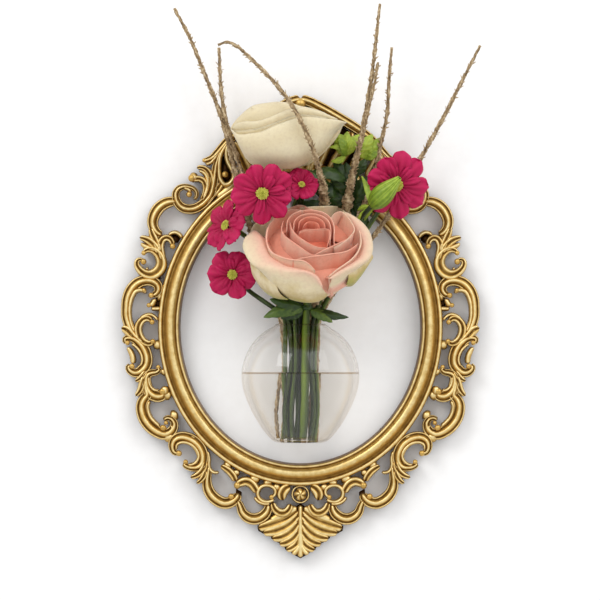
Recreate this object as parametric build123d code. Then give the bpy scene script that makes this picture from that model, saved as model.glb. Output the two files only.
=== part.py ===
from build123d import *
import os
from math import cos, hypot, pi, radians, sin, tan

# Hanging wall vase: a gilt oval frame with applied scrollwork, a steel hanger behind it, a
# flat-backed glass bowl hung on the hanger's peg, and the bunch of flowers standing in the bowl.
# Millimetres. +X to the right, -Y out of the wall, +Z up. The origin is on the wall, where the
# wall hook carries the ring.

# Oval moulding
oval_half_width = 113.6
oval_half_height = 126.8
moulding_width = 18.0
moulding_depth = 16.0
rebate_width = 5.0
rebate_depth = 3.0

# The oval as traced from the front view: its centre and its half axes there
oval_centre_pixels = (300.4, 327.0)
oval_half_axes_pixels = (142.0, 158.5)

# Scrollwork
scroll_base_depth = 7.5
scroll_ridge_depth = 11.0
scroll_flare = 1.2
scroll_ridge_share = 0.62
leaf_ridge_depth = 10.0
glue_gap = 0.1
samples_per_point = 2
cap_points = 3

# Hanger behind the frame
bumper_thickness = 4.0
bumper_radius = 5.0
bumper_angle = 48.0
strap_width = 16.0
strap_thickness = 1.5
strap_below_peg = 9.0
loop_radius = 1.9
loop_length = 12.0
loop_above_moulding = 2.5
ring_wire_radius = 1.0
ring_half_width = 9.0
ring_straight = 4.0
ring_running_gap = 0.06
screw_shank_radius = 1.4
screw_head_radius = 2.7
screw_head_height = 1.2
screw_length = 10.0
screw_spacing = 7.6
screw_gap = 0.06
peg_radius = 3.0
peg_tilt = 20.0
peg_reach = 8.0
sleeve_wall = 1.0
sleeve_gap = 0.05

# Glass bowl
vase_radius = 47.0
vase_height = 94.0
vase_wall = 2.5
vase_floor = 3.0
vase_back_offset = 15.0
rim_below_centre = -1.6
peg_hole_below_rim = 13.0
seat_gap = 0.3

# Flowers
bunch_reach = 100.0
foot_clearance = 0.4
rose_stem_radius = 3.0
flower_stem_radius = 1.8
twig_radius = 1.35
sprig_radius = 1.2
stem_lead = 8.0
stem_straight = 5.0
pink_rose_radius = 50.0
pink_rose_height = 56.0
cream_rose_radius = 45.0
cream_rose_height = 54.0
cream_flat_share = 0.70
daisy_radii = {
    "daisy_front": 25.0, "daisy_left": 23.0, "daisy_low": 20.0, "daisy_mid": 14.0,
    "daisy_right": 27.0,
}
daisy_petals = {
    "daisy_front": 11, "daisy_left": 10, "daisy_low": 10, "daisy_mid": 9, "daisy_right": 11,
}
petal_thickness = 2.2
petal_droop = 12.0
leaf_thickness = 1.0
leaf_collar_wall = 1.6
leaf_collar_height = 3.0
leaf_collar_gap = 0.5
bud_radius = 8.5
bud_length = 33.0

cut_overrun = 1.0

# Sizes that follow
scale_x = oval_half_width / oval_half_axes_pixels[0]
scale_z = oval_half_height / oval_half_axes_pixels[1]
scale_mean = (scale_x + scale_z) / 2
ring_top_to_bar = ring_straight + ring_half_width - ring_wire_radius
oval_centre_z = -ring_top_to_bar - loop_above_moulding - oval_half_height
frame_back_y = -bumper_thickness
strap_back_y = frame_back_y + strap_thickness
vase_back_y = frame_back_y - seat_gap
vase_axis_y = vase_back_y - vase_back_offset
rim_z = oval_centre_z - rim_below_centre
vase_base_z = rim_z - vase_height
peg_hole_z = rim_z - peg_hole_below_rim
sleeve_radius = peg_radius + sleeve_wall
back = Plane.XZ.offset(bumper_thickness)


def photo_x(px):
    return (px - oval_centre_pixels[0]) * scale_x


def photo_z(py):
    return oval_centre_z + (oval_centre_pixels[1] - py) * scale_z


def flat(point):
    """A traced point in the frame's plane."""
    return Vector(photo_x(point[0]), photo_z(point[1]))


# Oval moulding

# The profile from the outer wall inwards, as shares of the moulding's width and depth: each
# row is the middle and the end of an arc.
moulding_arc_shares = [
    ((0.0, 0.54), (0.10, 0.68), (0.20, 0.58)),
    ((0.20, 0.58), (0.28, 0.53), (0.36, 0.66)),
    ((0.36, 0.66), (0.56, 1.00), (0.77, 0.73)),
    ((0.77, 0.73), (0.85, 0.83), (0.92, 0.72)),
]
inner_lip_share = 0.34


def profile_point(share):
    inward = share[0] * moulding_width
    forward = share[1] * moulding_depth
    return Vector(oval_half_width - inward, frame_back_y - forward, oval_centre_z)


def oval_wire(inset):
    """The oval at a distance inside the moulding's outer wall, on the frame's back plane."""
    centre = Plane(origin=(0, frame_back_y, oval_centre_z), x_dir=(1, 0, 0), z_dir=(0, -1, 0))
    return centre * Ellipse(oval_half_width - inset, oval_half_height - inset)


def make_moulding():
    arcs = [
        ThreePointArc(*(profile_point(share) for share in row)) for row in moulding_arc_shares
    ]
    lip_x = oval_half_width - moulding_width
    rebate_x = lip_x + rebate_width
    lip_y = frame_back_y - inner_lip_share * moulding_depth
    rebate_y = frame_back_y - rebate_depth
    closing = Polyline(
        profile_point(moulding_arc_shares[-1][2]),
        Vector(lip_x, lip_y, oval_centre_z),
        Vector(lip_x, rebate_y, oval_centre_z),
        Vector(rebate_x, rebate_y, oval_centre_z),
        Vector(rebate_x, frame_back_y, oval_centre_z),
        Vector(oval_half_width, frame_back_y, oval_centre_z),
        profile_point(moulding_arc_shares[0][0]),
    )
    profile = make_face(Wire(arcs + closing.edges()))
    ring = sweep(profile, path=oval_wire(0).edges()[0])
    return ring - screw_places(screw_shank_radius + screw_gap, screw_length)


# Scrollwork, traced on the left half; the right half is its mirror image. A strand is its
# spine and its widths at even steps; a ball is its centre and radius.

crest_strands_pixels = [
    ([(205, 162), (212, 158), (220, 150), (230, 139.5), (246, 128), (264, 117), (282, 107), (300.4, 99)],
     [6, 7, 7, 8, 8, 8, 8]),
    ([(205, 165), (212, 163), (219, 156), (226, 148), (233, 142)], [5, 5, 5]),
    ([(228, 144), (222, 153), (219, 163), (219, 174), (222, 183)], [5, 6, 7]),
    ([(222, 184), (229, 186), (235, 179), (233, 171), (229, 162), (226, 152)], [6, 6, 6]),
    ([(233, 146), (240, 158), (247, 170), (251, 182)], [9, 11, 9]),
    ([(250, 132), (254, 146), (263, 161), (272, 176)], [8, 12, 10]),
    ([(268, 121), (273, 138), (281, 154), (288, 174)], [8, 13, 10]),
    ([(285, 112), (288, 130), (293, 150), (297, 174)], [8, 13, 10]),
    ([(240, 182), (260, 176), (280, 172), (300.4, 171)], [10, 12, 10]),
]
crest_balls_pixels = [(225, 174, 4.0), (205, 160.5, 2.8)]
crest_web_pixels = [(221, 160), (228, 158), (232, 175), (228, 182), (221, 178)]
crest_knob_pixels = (300.4, 104.5, 7.5)

upper_strands_pixels = [
    ([(221, 152), (216, 165), (214, 178), (211, 193), (205, 202), (195, 208.5)], [6, 7, 8]),
    ([(204, 203), (194, 208.5), (184, 208), (177, 201), (176.5, 192), (182, 187.5), (190, 187.5)],
     [8, 8, 7, 6]),
    ([(184, 187), (192, 188), (197, 193), (196, 199), (192, 201)], [5, 5, 4]),
    ([(197, 168), (204, 169), (209, 176), (210, 186), (207, 196)], [6, 9, 10, 8]),
    ([(192, 180), (199, 178), (205, 182), (206, 190), (203, 200)], [7, 7, 7]),
    ([(176, 202), (166, 203), (157, 210), (154, 219), (155, 228), (161, 234)], [9, 10, 9]),
    ([(222, 186), (217, 192), (210, 200), (200, 208)], [8, 8, 8]),
    ([(236, 180), (228, 190), (217, 198)], [8, 9, 8]),
]
upper_balls_pixels = [(189.5, 195, 4.2), (194, 179, 5.5)]

side_strands_pixels = [
    ([(151, 228), (153, 236), (157, 246), (163, 256)], [5, 8, 8]),
    ([(140, 238), (148, 241), (154, 247), (162, 256)], [5, 9, 8]),
    ([(141, 244), (147, 249), (156, 252)], [5, 8, 7]),
    ([(166, 236), (171, 233), (177, 233), (184, 239)], [4, 5, 5]),
    ([(172, 246), (170, 240), (165, 238)], [5, 6, 6]),
    ([(167, 238), (162, 243), (161, 251), (163, 260)], [6, 6, 6]),
    ([(143, 253), (150, 250), (158, 254), (162, 264), (157, 273), (147, 275)], [5, 8, 10, 10]),
    ([(150, 275), (141, 271), (137.5, 263), (141, 260.5)], [8, 7, 5]),
    ([(152, 296), (158, 290), (155, 282), (145, 280.5), (135, 286), (128.5, 296), (127, 310),
      (128.5, 322), (135, 334), (144, 342)], [6, 8, 8, 9, 9, 8, 8]),
    ([(146, 292), (139, 291), (133, 298), (130, 310)], [5, 6, 6]),
    ([(149, 275), (151, 281)], [10, 10]),
    ([(157, 297), (154, 301), (150, 305)], [5, 5, 4]),
    ([(152, 308.5), (161, 308.5)], [5, 5]),
    ([(157, 295), (163, 297)], [9, 9]),
    ([(151, 321), (146, 318), (141, 320)], [5, 6, 6]),
    ([(142, 319.5), (138.5, 328), (142, 339), (148, 343), (154, 342)], [6, 8, 7, 6]),
    ([(138, 320), (145, 314.5), (152, 315), (159, 321)], [4, 5, 4]),
    ([(153, 343), (162, 346)], [8, 8]),
    ([(122, 327.5), (128, 331), (136, 337)], [9, 8, 7]),
    ([(126.5, 343), (128, 339.5), (134, 339)], [5, 6, 7]),
    ([(131, 338.5), (140, 343), (146, 352), (147.5, 361), (143, 370), (135, 372), (129, 368)],
     [7, 9, 9, 9, 7]),
    ([(127, 346), (131.5, 353), (133, 363)], [6, 6, 6]),
    ([(137, 381), (143, 376), (147, 370)], [6, 8, 7]),
    ([(135, 396), (140, 390), (143, 382), (146, 374)], [6, 8, 7, 7]),
]
side_balls_pixels = [
    (173, 247, 3.6), (144, 262.5, 3.8), (151, 294.5, 3.8), (149.5, 305, 3.2), (152.5, 322, 3.4),
    (153.5, 341.5, 3.4), (128, 342.5, 3.2), (132.5, 366.5, 3.6), (144, 253.5, 3.2),
]

lower_strands_pixels = [
    ([(159, 366), (158, 371), (151, 373), (147, 380), (149, 390), (156, 396), (164, 395)],
     [5, 6, 7, 9, 10, 9]),
    ([(163, 385), (165, 391), (162, 396)], [7, 8, 7]),
    ([(161, 369), (168, 374)], [6, 6]),
    ([(163, 393), (172, 396)], [9, 9]),
    ([(146, 380), (145, 390), (143, 400), (142.5, 410), (148, 422), (158, 431), (168, 434)],
     [6, 8, 9, 9, 9, 8]),
    ([(160, 432), (169, 433.5), (175, 427), (172, 419), (165, 419.5)], [8, 9, 8, 5]),
    ([(171, 417), (178, 413)], [9, 10]),
    ([(164, 436), (174, 437)], [9, 9]),
    ([(178, 453), (173.5, 449), (174, 442), (181, 437.5), (191, 439), (200, 448), (202.5, 458),
      (197, 466), (188, 466), (183, 462)], [6, 7, 9, 9, 9, 9, 8, 6]),
    ([(188, 441), (196, 436)], [10, 9]),
    ([(200, 452), (205, 452)], [9, 9]),
    ([(191, 477.5), (198, 476), (204, 468), (206, 459)], [6, 9, 7, 6]),
    ([(197, 484), (203, 478), (206.5, 468)], [6, 7, 6]),
]
lower_balls_pixels = [
    (163, 427.5, 4.0), (166, 422.5, 2.8), (180, 453, 3.8), (186, 462, 3.2), (159, 367, 2.8),
]

foot_strands_pixels = [
    ([(208, 450), (209, 460), (208.5, 472), (207, 482), (211, 494), (221, 501.5), (232, 501),
      (239, 493)], [5, 6, 8, 9, 9, 8]),
    ([(209, 466), (214, 471), (221, 472)], [4, 4, 3]),
    ([(220, 466), (224, 469), (231, 474), (236, 481)], [6, 7, 7]),
    ([(225, 467), (231, 462)], [8, 8]),
    ([(232, 474), (240, 471)], [6, 6]),
    ([(236, 485), (244, 480.5), (252, 483), (257, 491), (262, 501)], [8, 8, 8, 6]),
    ([(250, 480), (260, 476)], [9, 9]),
    ([(258, 490), (262, 485.5), (269, 485), (274.5, 490), (274, 497), (268, 502), (261, 499)],
     [4.5, 4.5, 4.5]),
    ([(264, 484), (272, 479)], [7, 7]),
    ([(273, 489), (280, 485)], [7, 8]),
    ([(237, 501), (241, 510), (249, 517), (259, 517.5), (267, 511), (269, 502)],
     [7, 9, 9, 8, 6]),
    ([(272, 500), (276, 509), (283, 513), (290, 509), (292, 503)], [5, 7, 6]),
    ([(291, 485), (284.5, 489), (281, 496), (283, 502)], [9, 9, 6]),
]
foot_balls_pixels = [(237.5, 485, 4.8), (231.5, 496, 4.0), (271.5, 497, 3.2)]

cup_radius_pixels = 9.6
cup_centre_pixels = (300.4, 494.0)
bud_ball_pixels = 6.4

pendant_outline_pixels = [
    (300.4, 505), (290, 511), (276, 517), (268, 521), (257, 525), (258, 531), (264, 534),
    (270.5, 535.5), (271, 539), (276, 541.5), (279, 542), (281, 545.5), (284.5, 547),
    (286, 550), (291, 552), (294, 555), (300.4, 558.5),
]
pendant_lobes_pixels = [
    ([(296, 513), (285, 520), (272, 525), (260, 527)], [4, 6, 5]),
    ([(297, 519), (288, 527), (275, 532), (263, 531)], [4, 6, 5]),
    ([(298, 526), (290, 534), (280, 538), (273, 537)], [4, 6, 5]),
    ([(299, 534), (292, 541), (285, 544)], [4, 6, 5]),
    ([(300.4, 541), (295, 547), (289, 549)], [4, 5, 4]),
    ([(300.4, 510), (300.4, 530), (300.4, 552)], [4, 6, 9]),
]


def width_at(widths, along):
    place = along * (len(widths) - 1)
    low = min(int(place), len(widths) - 2)
    return widths[low] + (widths[low + 1] - widths[low]) * (place - low)


def strand_face(spine_points, widths, flare, share):
    """A strand's outline: its spine widened on both sides, with rounded ends."""
    spine = Spline(*[flat(point) for point in spine_points])
    steps = samples_per_point * (len(spine_points) - 1)
    left, right = [], []
    for step in range(steps + 1):
        along = step / steps
        half = width_at(widths, along) * scale_mean * share / 2 + flare
        place = spine @ along
        way = (spine % along).normalized()
        side = Vector(-way.Y, way.X) * half
        left.append(place + side)
        right.append(place - side)
        if step in (0, steps):
            turn = 1 if step else -1
            out = way * half * turn
            cap = [
                place + side * cos(pi * n / (cap_points + 1)) + out * sin(pi * n / (cap_points + 1))
                for n in range(1, cap_points + 1)
            ]
            if step:
                end_cap = cap
            else:
                start_cap = cap[::-1]
    return make_face(Polyline(*left, *end_cap, *right[::-1], *start_cap, close=True))


def strands_sketch(strands, flare, share):
    return Sketch() + [strand_face(points, widths, flare, share) for points, widths in strands]


def disc(ball, extra):
    place = flat(ball)
    return Pos(place.X, place.Y) * Circle(ball[2] * scale_mean + extra)


def ball_solid(ball):
    place = flat(ball)
    radius = ball[2] * scale_mean
    return Pos(place.X, frame_back_y - scroll_ridge_depth + radius / 2, place.Y) * Sphere(radius)


def oval_footprint():
    return Pos(0, oval_centre_z) * Ellipse(oval_half_width + glue_gap, oval_half_height + glue_gap)


def mirrored_pixels(strands):
    """The same strands with their mirror images, for a piece on the centre line."""
    twins = [
        ([(2 * oval_centre_pixels[0] - x, y) for x, y in points], widths) for points, widths in strands
    ]
    return strands + twins


def ornament(base, ridges, balls, ridge_depth):
    """A piece of carving: its flat base, its narrower ridges and its balls."""
    body = extrude(back * base, scroll_base_depth) + extrude(back * ridges, ridge_depth)
    for ball in balls:
        body += ball_solid(ball)
    return body


def keep_half(sketch):
    """The left half of a sketch, cut on the centre line."""
    reach = 2 * (oval_half_width + oval_half_height)
    return sketch - Pos(reach / 2, oval_centre_z) * Rectangle(reach, 2 * reach)


def outline(strands, balls, extra=0):
    """The flat outline of a piece of scrollwork, grown by an extra margin."""
    shape = strands_sketch(strands, scroll_flare + extra, 1)
    return shape + [disc(ball, scroll_flare + extra) for ball in balls]


def polygon(points):
    return make_face(Polyline(*[flat(point) for point in points], close=True))


def make_scrollwork():
    oval = oval_footprint()
    cup_place = flat(cup_centre_pixels)
    cup_outer = cup_radius_pixels * scale_mean
    bud_outer = bud_ball_pixels * scale_mean
    centred = Pos(cup_place.X, cup_place.Y)
    cup_disc = centred * Circle(cup_outer)
    cup_room = centred * Circle(cup_outer + glue_gap)
    bud_disc = centred * Circle(bud_outer + glue_gap)

    pendant_half = polygon(pendant_outline_pixels)
    pendant_base = pendant_half + mirror(pendant_half, Plane.YZ) - cup_room - oval
    foot_base = outline(foot_strands_pixels, foot_balls_pixels)
    foot_base = keep_half(foot_base - oval - cup_room - pendant_base)
    lower_base = outline(lower_strands_pixels, lower_balls_pixels) - oval
    lower_base -= outline(foot_strands_pixels, foot_balls_pixels, glue_gap)
    side_base = outline(side_strands_pixels, side_balls_pixels) - oval
    side_base -= outline(lower_strands_pixels, lower_balls_pixels, glue_gap)
    upper_base = outline(upper_strands_pixels, upper_balls_pixels) - oval
    upper_base -= outline(side_strands_pixels, side_balls_pixels, glue_gap)
    crest_half = outline(crest_strands_pixels, crest_balls_pixels) + polygon(crest_web_pixels)
    crest_half = crest_half - oval - outline(upper_strands_pixels, upper_balls_pixels, glue_gap)

    def ridged(base, strands, balls, ridge_depth):
        ridges = strands_sketch(strands, 0, scroll_ridge_share) & base
        return ornament(base, ridges, balls, ridge_depth)

    made = {}
    for name, base, strands, balls in (
        ("scroll_foot", foot_base, foot_strands_pixels, foot_balls_pixels),
        ("scroll_lower", lower_base, lower_strands_pixels, lower_balls_pixels),
        ("scroll_side", side_base, side_strands_pixels, side_balls_pixels),
        ("scroll_upper", upper_base, upper_strands_pixels, upper_balls_pixels),
    ):
        left = ridged(base, strands, balls, scroll_ridge_depth)
        made[name + "_left"] = left
        made[name + "_right"] = mirror(left, Plane.YZ)
    left = ridged(crest_half, crest_strands_pixels, crest_balls_pixels, scroll_ridge_depth)
    knob = extrude(back * disc(crest_knob_pixels, 0), scroll_base_depth)
    made["crest_scroll"] = left + mirror(left, Plane.YZ) + knob + ball_solid(crest_knob_pixels)
    made["pendant_leaf"] = ridged(
        pendant_base, mirrored_pixels(pendant_lobes_pixels), [], leaf_ridge_depth
    )
    made["bud_cup"] = extrude(back * (cup_disc - bud_disc - oval), scroll_base_depth)
    stud = extrude(back * (Pos(cup_place.X, cup_place.Y) * Circle(bud_outer)), scroll_base_depth)
    dome = Pos(cup_place.X, frame_back_y - scroll_base_depth, cup_place.Y) * Sphere(bud_outer)
    made["centre_bud"] = stud + dome
    return made


# Hanger, ring, screws and bumpers

def cylinder_along_y(radius, front_y, back_y, x, z):
    """A round bar square to the wall, between two depths."""
    return Pos(x, (front_y + back_y) / 2, z) * Rot(90, 0, 0) * Cylinder(radius, abs(back_y - front_y))


def screw_z():
    return oval_centre_z + oval_half_height - (moulding_width - rebate_width) / 2


def screw_places(radius, length):
    """Round bars on the two screw axes, from the strap's back face into the moulding."""
    return [
        cylinder_along_y(radius, strap_back_y - length, strap_back_y, side * screw_spacing / 2, screw_z())
        for side in (-1, 1)
    ]


def peg_plane():
    """The peg's axis, through the middle of the bowl's back wall, pointing out and up."""
    out = Vector(0, -cos(radians(peg_tilt)), sin(radians(peg_tilt)))
    return Plane(origin=(0, vase_back_y - vase_wall / 2, peg_hole_z), z_dir=out)


def bar_on_peg(radius, start, end):
    plane = peg_plane()
    return plane * Pos(0, 0, (start + end) / 2) * Cylinder(radius, end - start)


def peg_span():
    """Distances along the peg from the bowl's back wall to the strap and to the peg's end."""
    root = -(seat_gap + vase_wall / 2 + strap_thickness / 2) / cos(radians(peg_tilt))
    tip = vase_wall / 2 + peg_reach
    return root, tip


def make_strap():
    top = oval_centre_z + oval_half_height + loop_above_moulding
    bottom = peg_hole_z - strap_below_peg
    plate_y = (frame_back_y + strap_back_y) / 2
    plate = Pos(0, plate_y, (top + bottom) / 2) * Box(strap_width, strap_thickness, top - bottom)
    sides = plate.edges().filter_by(Axis.Y)
    lower = sides.group_by(Axis.Z)[0]
    plate = fillet(lower, strap_width / 2 - cut_overrun)
    bar_y = -bumper_thickness / 2
    eye = Pos(0, bar_y, top) * Rot(0, 90, 0) * Cylinder(loop_radius, loop_length)
    bore = Pos(0, bar_y, top) * Rot(0, 90, 0) * Cylinder(
        ring_wire_radius + ring_running_gap, strap_width + cut_overrun
    )
    root, tip = peg_span()
    behind = Pos(0, strap_back_y + strap_width / 2, (top + bottom) / 2) * Box(
        strap_width, strap_width, (top - bottom) / 2
    )
    peg = bar_on_peg(peg_radius, root - peg_radius, tip) - behind
    shoulder = Pos(0, plate_y, top) * Box(strap_width, strap_thickness * 2, loop_radius * 2)
    strap = plate - shoulder + eye + neck(top, bar_y) - bore + peg
    return strap - screw_places(screw_shank_radius + screw_gap, screw_length)


def neck(top, bar_y):
    """The tongue that joins the flat strap to its rolled eye."""
    height = loop_radius * 2
    return Pos(0, (frame_back_y + strap_back_y) / 2, top - height / 2) * Box(
        loop_length, strap_thickness, height
    )


def make_ring():
    top = oval_centre_z + oval_half_height + loop_above_moulding
    bar_y = -bumper_thickness / 2
    wire = ring_wire_radius
    bar = Pos(0, bar_y, top) * Rot(0, 90, 0) * Cylinder(wire, 2 * ring_half_width)
    ring = bar
    for side in (-1, 1):
        corner = Pos(side * ring_half_width, bar_y, top)
        ring += corner * Sphere(wire)
        ring += corner * Pos(0, 0, ring_straight / 2) * Cylinder(wire, ring_straight)
    arch_plane = Plane(origin=(0, bar_y, top + ring_straight), x_dir=(1, 0, 0), z_dir=(0, 1, 0))
    arch = Torus(ring_half_width, wire, major_angle=180, align=None)
    ring += arch_plane * Rot(0, 0, 180) * arch
    return ring


def make_screws():
    screws = []
    for side in (-1, 1):
        x = side * screw_spacing / 2
        shank = cylinder_along_y(
            screw_shank_radius, strap_back_y - screw_length + cut_overrun, strap_back_y, x, screw_z()
        )
        head = cylinder_along_y(
            screw_head_radius, strap_back_y, strap_back_y + screw_head_height, x, screw_z()
        )
        screws.append(shank + head)
    return Compound(children=screws)


def make_sleeve():
    root, tip = peg_span()
    start = -(vase_wall / 2 + seat_gap) / cos(radians(peg_tilt)) + sleeve_radius * tan(radians(peg_tilt))
    outer = bar_on_peg(sleeve_radius, start + sleeve_gap, tip + sleeve_wall)
    outer = fillet(outer.edges().sort_by(Axis.Y)[0], sleeve_wall)
    return outer - bar_on_peg(peg_radius + sleeve_gap, start - cut_overrun, tip + sleeve_gap)


def make_bumpers():
    inset = (moulding_width - rebate_width) / 2
    bumpers = []
    for angle in (bumper_angle, 180 - bumper_angle, 180 + bumper_angle, -bumper_angle):
        x = (oval_half_width - inset) * cos(radians(angle))
        z = oval_centre_z + (oval_half_height - inset) * sin(radians(angle))
        bumpers.append(cylinder_along_y(bumper_radius, frame_back_y, 0, x, z))
    return Compound(children=bumpers)


# Glass bowl: turned about a vertical axis, flat at the back, with a round hole for the peg

# Radius and height of the outside, as shares of the bowl's greatest radius and height
bowl_shares = [
    (0.37, 0.0), (0.58, 0.077), (0.80, 0.24), (0.965, 0.44), (1.0, 0.58), (0.93, 0.73),
    (0.77, 0.87), (0.54, 0.965), (0.43, 1.0),
]


def bowl_solid(inset, low, high):
    """The bowl's turned form, smaller by an inset, between two heights."""
    points = [
        Vector(share[0] * vase_radius - inset, 0, low + share[1] * (high - low)) for share in bowl_shares
    ]
    side = Spline(*points)
    top = Polyline(points[-1], Vector(0, 0, high), Vector(0, 0, low), points[0])
    return revolve(make_face(Wire(side.edges() + top.edges())), Axis.Z)


def cut_back(solid, offset):
    """The part of a turned form in front of a flat plane behind its axis."""
    reach = 2 * vase_radius
    return solid - Pos(0, offset + reach / 2, vase_height / 2) * Box(reach, reach, 2 * vase_height)


def make_vase():
    outer = cut_back(bowl_solid(0, 0, vase_height), vase_back_offset)
    inner = cut_back(bowl_solid(vase_wall, vase_floor, vase_height), vase_back_offset - vase_wall)
    mouth_radius = bowl_shares[-1][0] * vase_radius - vase_wall
    mouth = Pos(0, 0, vase_height) * Cylinder(mouth_radius, 2 * cut_overrun)
    glass = outer - inner - cut_back(mouth, vase_back_offset - vase_wall)
    glass = Pos(0, vase_axis_y, vase_base_z) * glass
    tilt = radians(peg_tilt)
    hole_radius = sleeve_radius / cos(tilt) + vase_wall / 2 * tan(tilt) + seat_gap
    hole = cylinder_along_y(
        hole_radius, vase_back_y - vase_wall - cut_overrun, vase_back_y + cut_overrun, 0, peg_hole_z
    )
    return glass - hole


# Flowers. Every stem starts on the bowl's floor, passes its own slot at the waist and the
# mouth of the bowl, and goes on by its traced route.

mouth_radius = bowl_shares[-1][0] * vase_radius - vase_wall
waist_height_share = 0.55
waist_spread_share = 0.90
foot_spread_share = 0.90
foot_shift_share = -0.12
bend_share = 0.45
foot_rise_share = 0.9

# Each stem's place in the mouth, as shares of the mouth's radius from the bowl's axis
slot_shares = {
    "pink_rose": (0.26, -0.75), "cream_rose": (-0.04, -0.44), "daisy_low": (-0.50, -0.62),
    "daisy_mid": (-0.24, -0.80), "daisy_left": (-0.65, -0.42), "daisy_front": (-0.37, -0.36),
    "twig_left": (-0.86, -0.10), "twig_bent": (-0.70, -0.19), "twig_arched": (0.24, -0.40),
    "sprig_light": (-0.10, -0.16), "sprig_dark": (0.10, -0.17), "twig_tall": (0.33, -0.14),
    "twig_short": (0.55, -0.18), "bud": (0.57, -0.53), "daisy_right": (0.75, -0.32),
    "twig_far": (0.84, -0.10),
}

# The stems' routes above the mouth: traced points, each with its depth as a share of the
# bunch's reach from the wall
route_pixels_and_depth_shares = {
    "pink_rose": [(308.5, 298, 0.385)],
    "cream_rose": [(299, 300, 0.258), (300, 222, 0.255), (300, 200, 0.31), (300, 185, 0.365)],
    "daisy_front": [(286, 300, 0.255), (278, 225, 0.26), (266, 197, 0.42)],
    "daisy_left": [(275, 285, 0.28), (256, 245, 0.295)],
    "daisy_low": [(270, 306, 0.335), (247, 290, 0.255)],
    "daisy_mid": [(292, 300, 0.275), (291, 225, 0.262), (294, 206, 0.34)],
    "daisy_right": [(327, 300, 0.265), (360, 240, 0.265), (383, 205, 0.262)],
    "bud": [(320, 300, 0.28), (354, 228, 0.33)],
    "sprig_light": [(306, 300, 0.23), (317, 230, 0.232), (330, 185, 0.24), (343, 158, 0.25)],
    "sprig_dark": [(311.5, 300, 0.23), (330, 230, 0.232), (350, 190, 0.24), (366, 162, 0.27)],
    "twig_left": [
        (274, 288, 0.225), (254, 240, 0.228), (237, 180, 0.235), (230, 148, 0.25),
        (222, 118, 0.265), (207, 80, 0.28), (190, 38, 0.29), (175, 11, 0.295),
    ],
    "twig_bent": [
        (280, 290, 0.235), (262, 240, 0.24), (244, 180, 0.25), (233, 145, 0.27),
        (225, 118, 0.285), (221, 88, 0.29), (219.5, 50, 0.295),
    ],
    "twig_arched": [
        (310, 300, 0.275), (322, 230, 0.262), (324, 208, 0.31), (323, 190, 0.50),
        (318, 170, 0.68), (311, 148, 0.80), (302, 128, 0.82), (290, 106, 0.72),
        (275, 87, 0.64), (258, 69, 0.58), (240, 52, 0.54), (229, 45.5, 0.52), (219, 49, 0.51),
    ],
    "twig_tall": [
        (316, 300, 0.232), (342, 230, 0.235), (347, 205, 0.29), (352, 175, 0.36),
        (361, 140, 0.42), (366, 110, 0.44), (371, 80, 0.45), (375, 45, 0.46), (379, 8, 0.47),
    ],
    "twig_short": [
        (321, 300, 0.235), (353, 230, 0.24), (372, 185, 0.27), (382, 138, 0.30),
        (387, 115, 0.31), (388, 85, 0.32), (391, 50, 0.33),
    ],
    "twig_far": [
        (328, 303, 0.23), (373, 237, 0.235), (397, 205, 0.235), (415, 168, 0.245),
        (437, 130, 0.27), (465, 75, 0.30), (479, 48, 0.31),
    ],
}
twig_branch_pixels_and_depth_shares = [
    (361, 140, 0.42), (368, 110, 0.47), (374, 85, 0.48), (377, 66, 0.485),
]

# The leaves' tips and widths; each leaf starts where its stalk ends
sprig_leaves_pixels_and_depth_shares = {
    "sprig_light": [
        ((337, 134, 0.24), 13), ((352, 131, 0.25), 10), ((359, 136, 0.26), 9),
        ((335, 166, 0.24), 8), ((334, 149, 0.24), 6),
    ],
    "sprig_dark": [
        ((371, 135, 0.28), 14), ((381, 138, 0.25), 9), ((346, 150, 0.29), 12),
        ((345, 178, 0.29), 12), ((360, 190, 0.27), 12),
    ],
}
rose_leaves_pixels_and_depth_shares = [
    ((264, 318, 0.42), 15), ((269, 301, 0.42), 13), ((332, 323, 0.43), 9), ((348, 318, 0.40), 9),
]

# Where each bloom sits: its traced base with its depth, and the way it faces
bloom_seats_pixels_and_depth_shares = {
    "pink_rose": ((309, 277, 0.44), (0.04, -0.78, 0.62)),
    "cream_rose": ((299, 172, 0.40), (-0.16, -0.30, 0.94)),
    "daisy_front": ((263, 195, 0.72), (0.0, -0.96, -0.28)),
    "daisy_left": ((231, 229, 0.44), (-0.72, -0.62, 0.30)),
    "daisy_low": ((234, 275, 0.38), (-0.15, -0.97, -0.10)),
    "daisy_mid": ((301, 190, 0.51), (0.10, -0.85, 0.50)),
    "daisy_right": ((394, 186, 0.42), (0.20, -0.95, -0.20)),
    "bud": ((371, 208, 0.50), (0.66, -0.36, 0.66)),
}


def traced(place):
    """A traced point with its depth, in the room."""
    px, py, share = place
    return Vector(photo_x(px), -share * bunch_reach, photo_z(py))


def route(places):
    return [traced(place) for place in places]


def slot_points(name, radius):
    """A stem's foot, its place at the waist and its place just above the mouth."""
    across, deep = slot_shares[name]
    x = across * mouth_radius
    y = vase_axis_y + deep * mouth_radius
    foot_x = foot_spread_share * x + foot_shift_share * mouth_radius
    beyond_base = hypot(foot_x, deep * mouth_radius) + radius - (bowl_shares[0][0] * vase_radius - vase_wall)
    foot_z = vase_base_z + vase_floor + foot_clearance + foot_rise_share * max(0, beyond_base)
    waist = Vector(waist_spread_share * x, y, vase_base_z + waist_height_share * vase_height)
    return [Vector(foot_x, y, foot_z), waist, Vector(x, y, rim_z + stem_straight)]


def bend_radii(points):
    """The largest tidy radius at each inner corner of a route."""
    radii = []
    for before, corner, after in zip(points, points[1:], points[2:]):
        first, second = corner - before, after - corner
        turn = radians(first.get_angle(second))
        radii.append(bend_share * min(first.length, second.length) / tan(turn / 2))
    return radii


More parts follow.
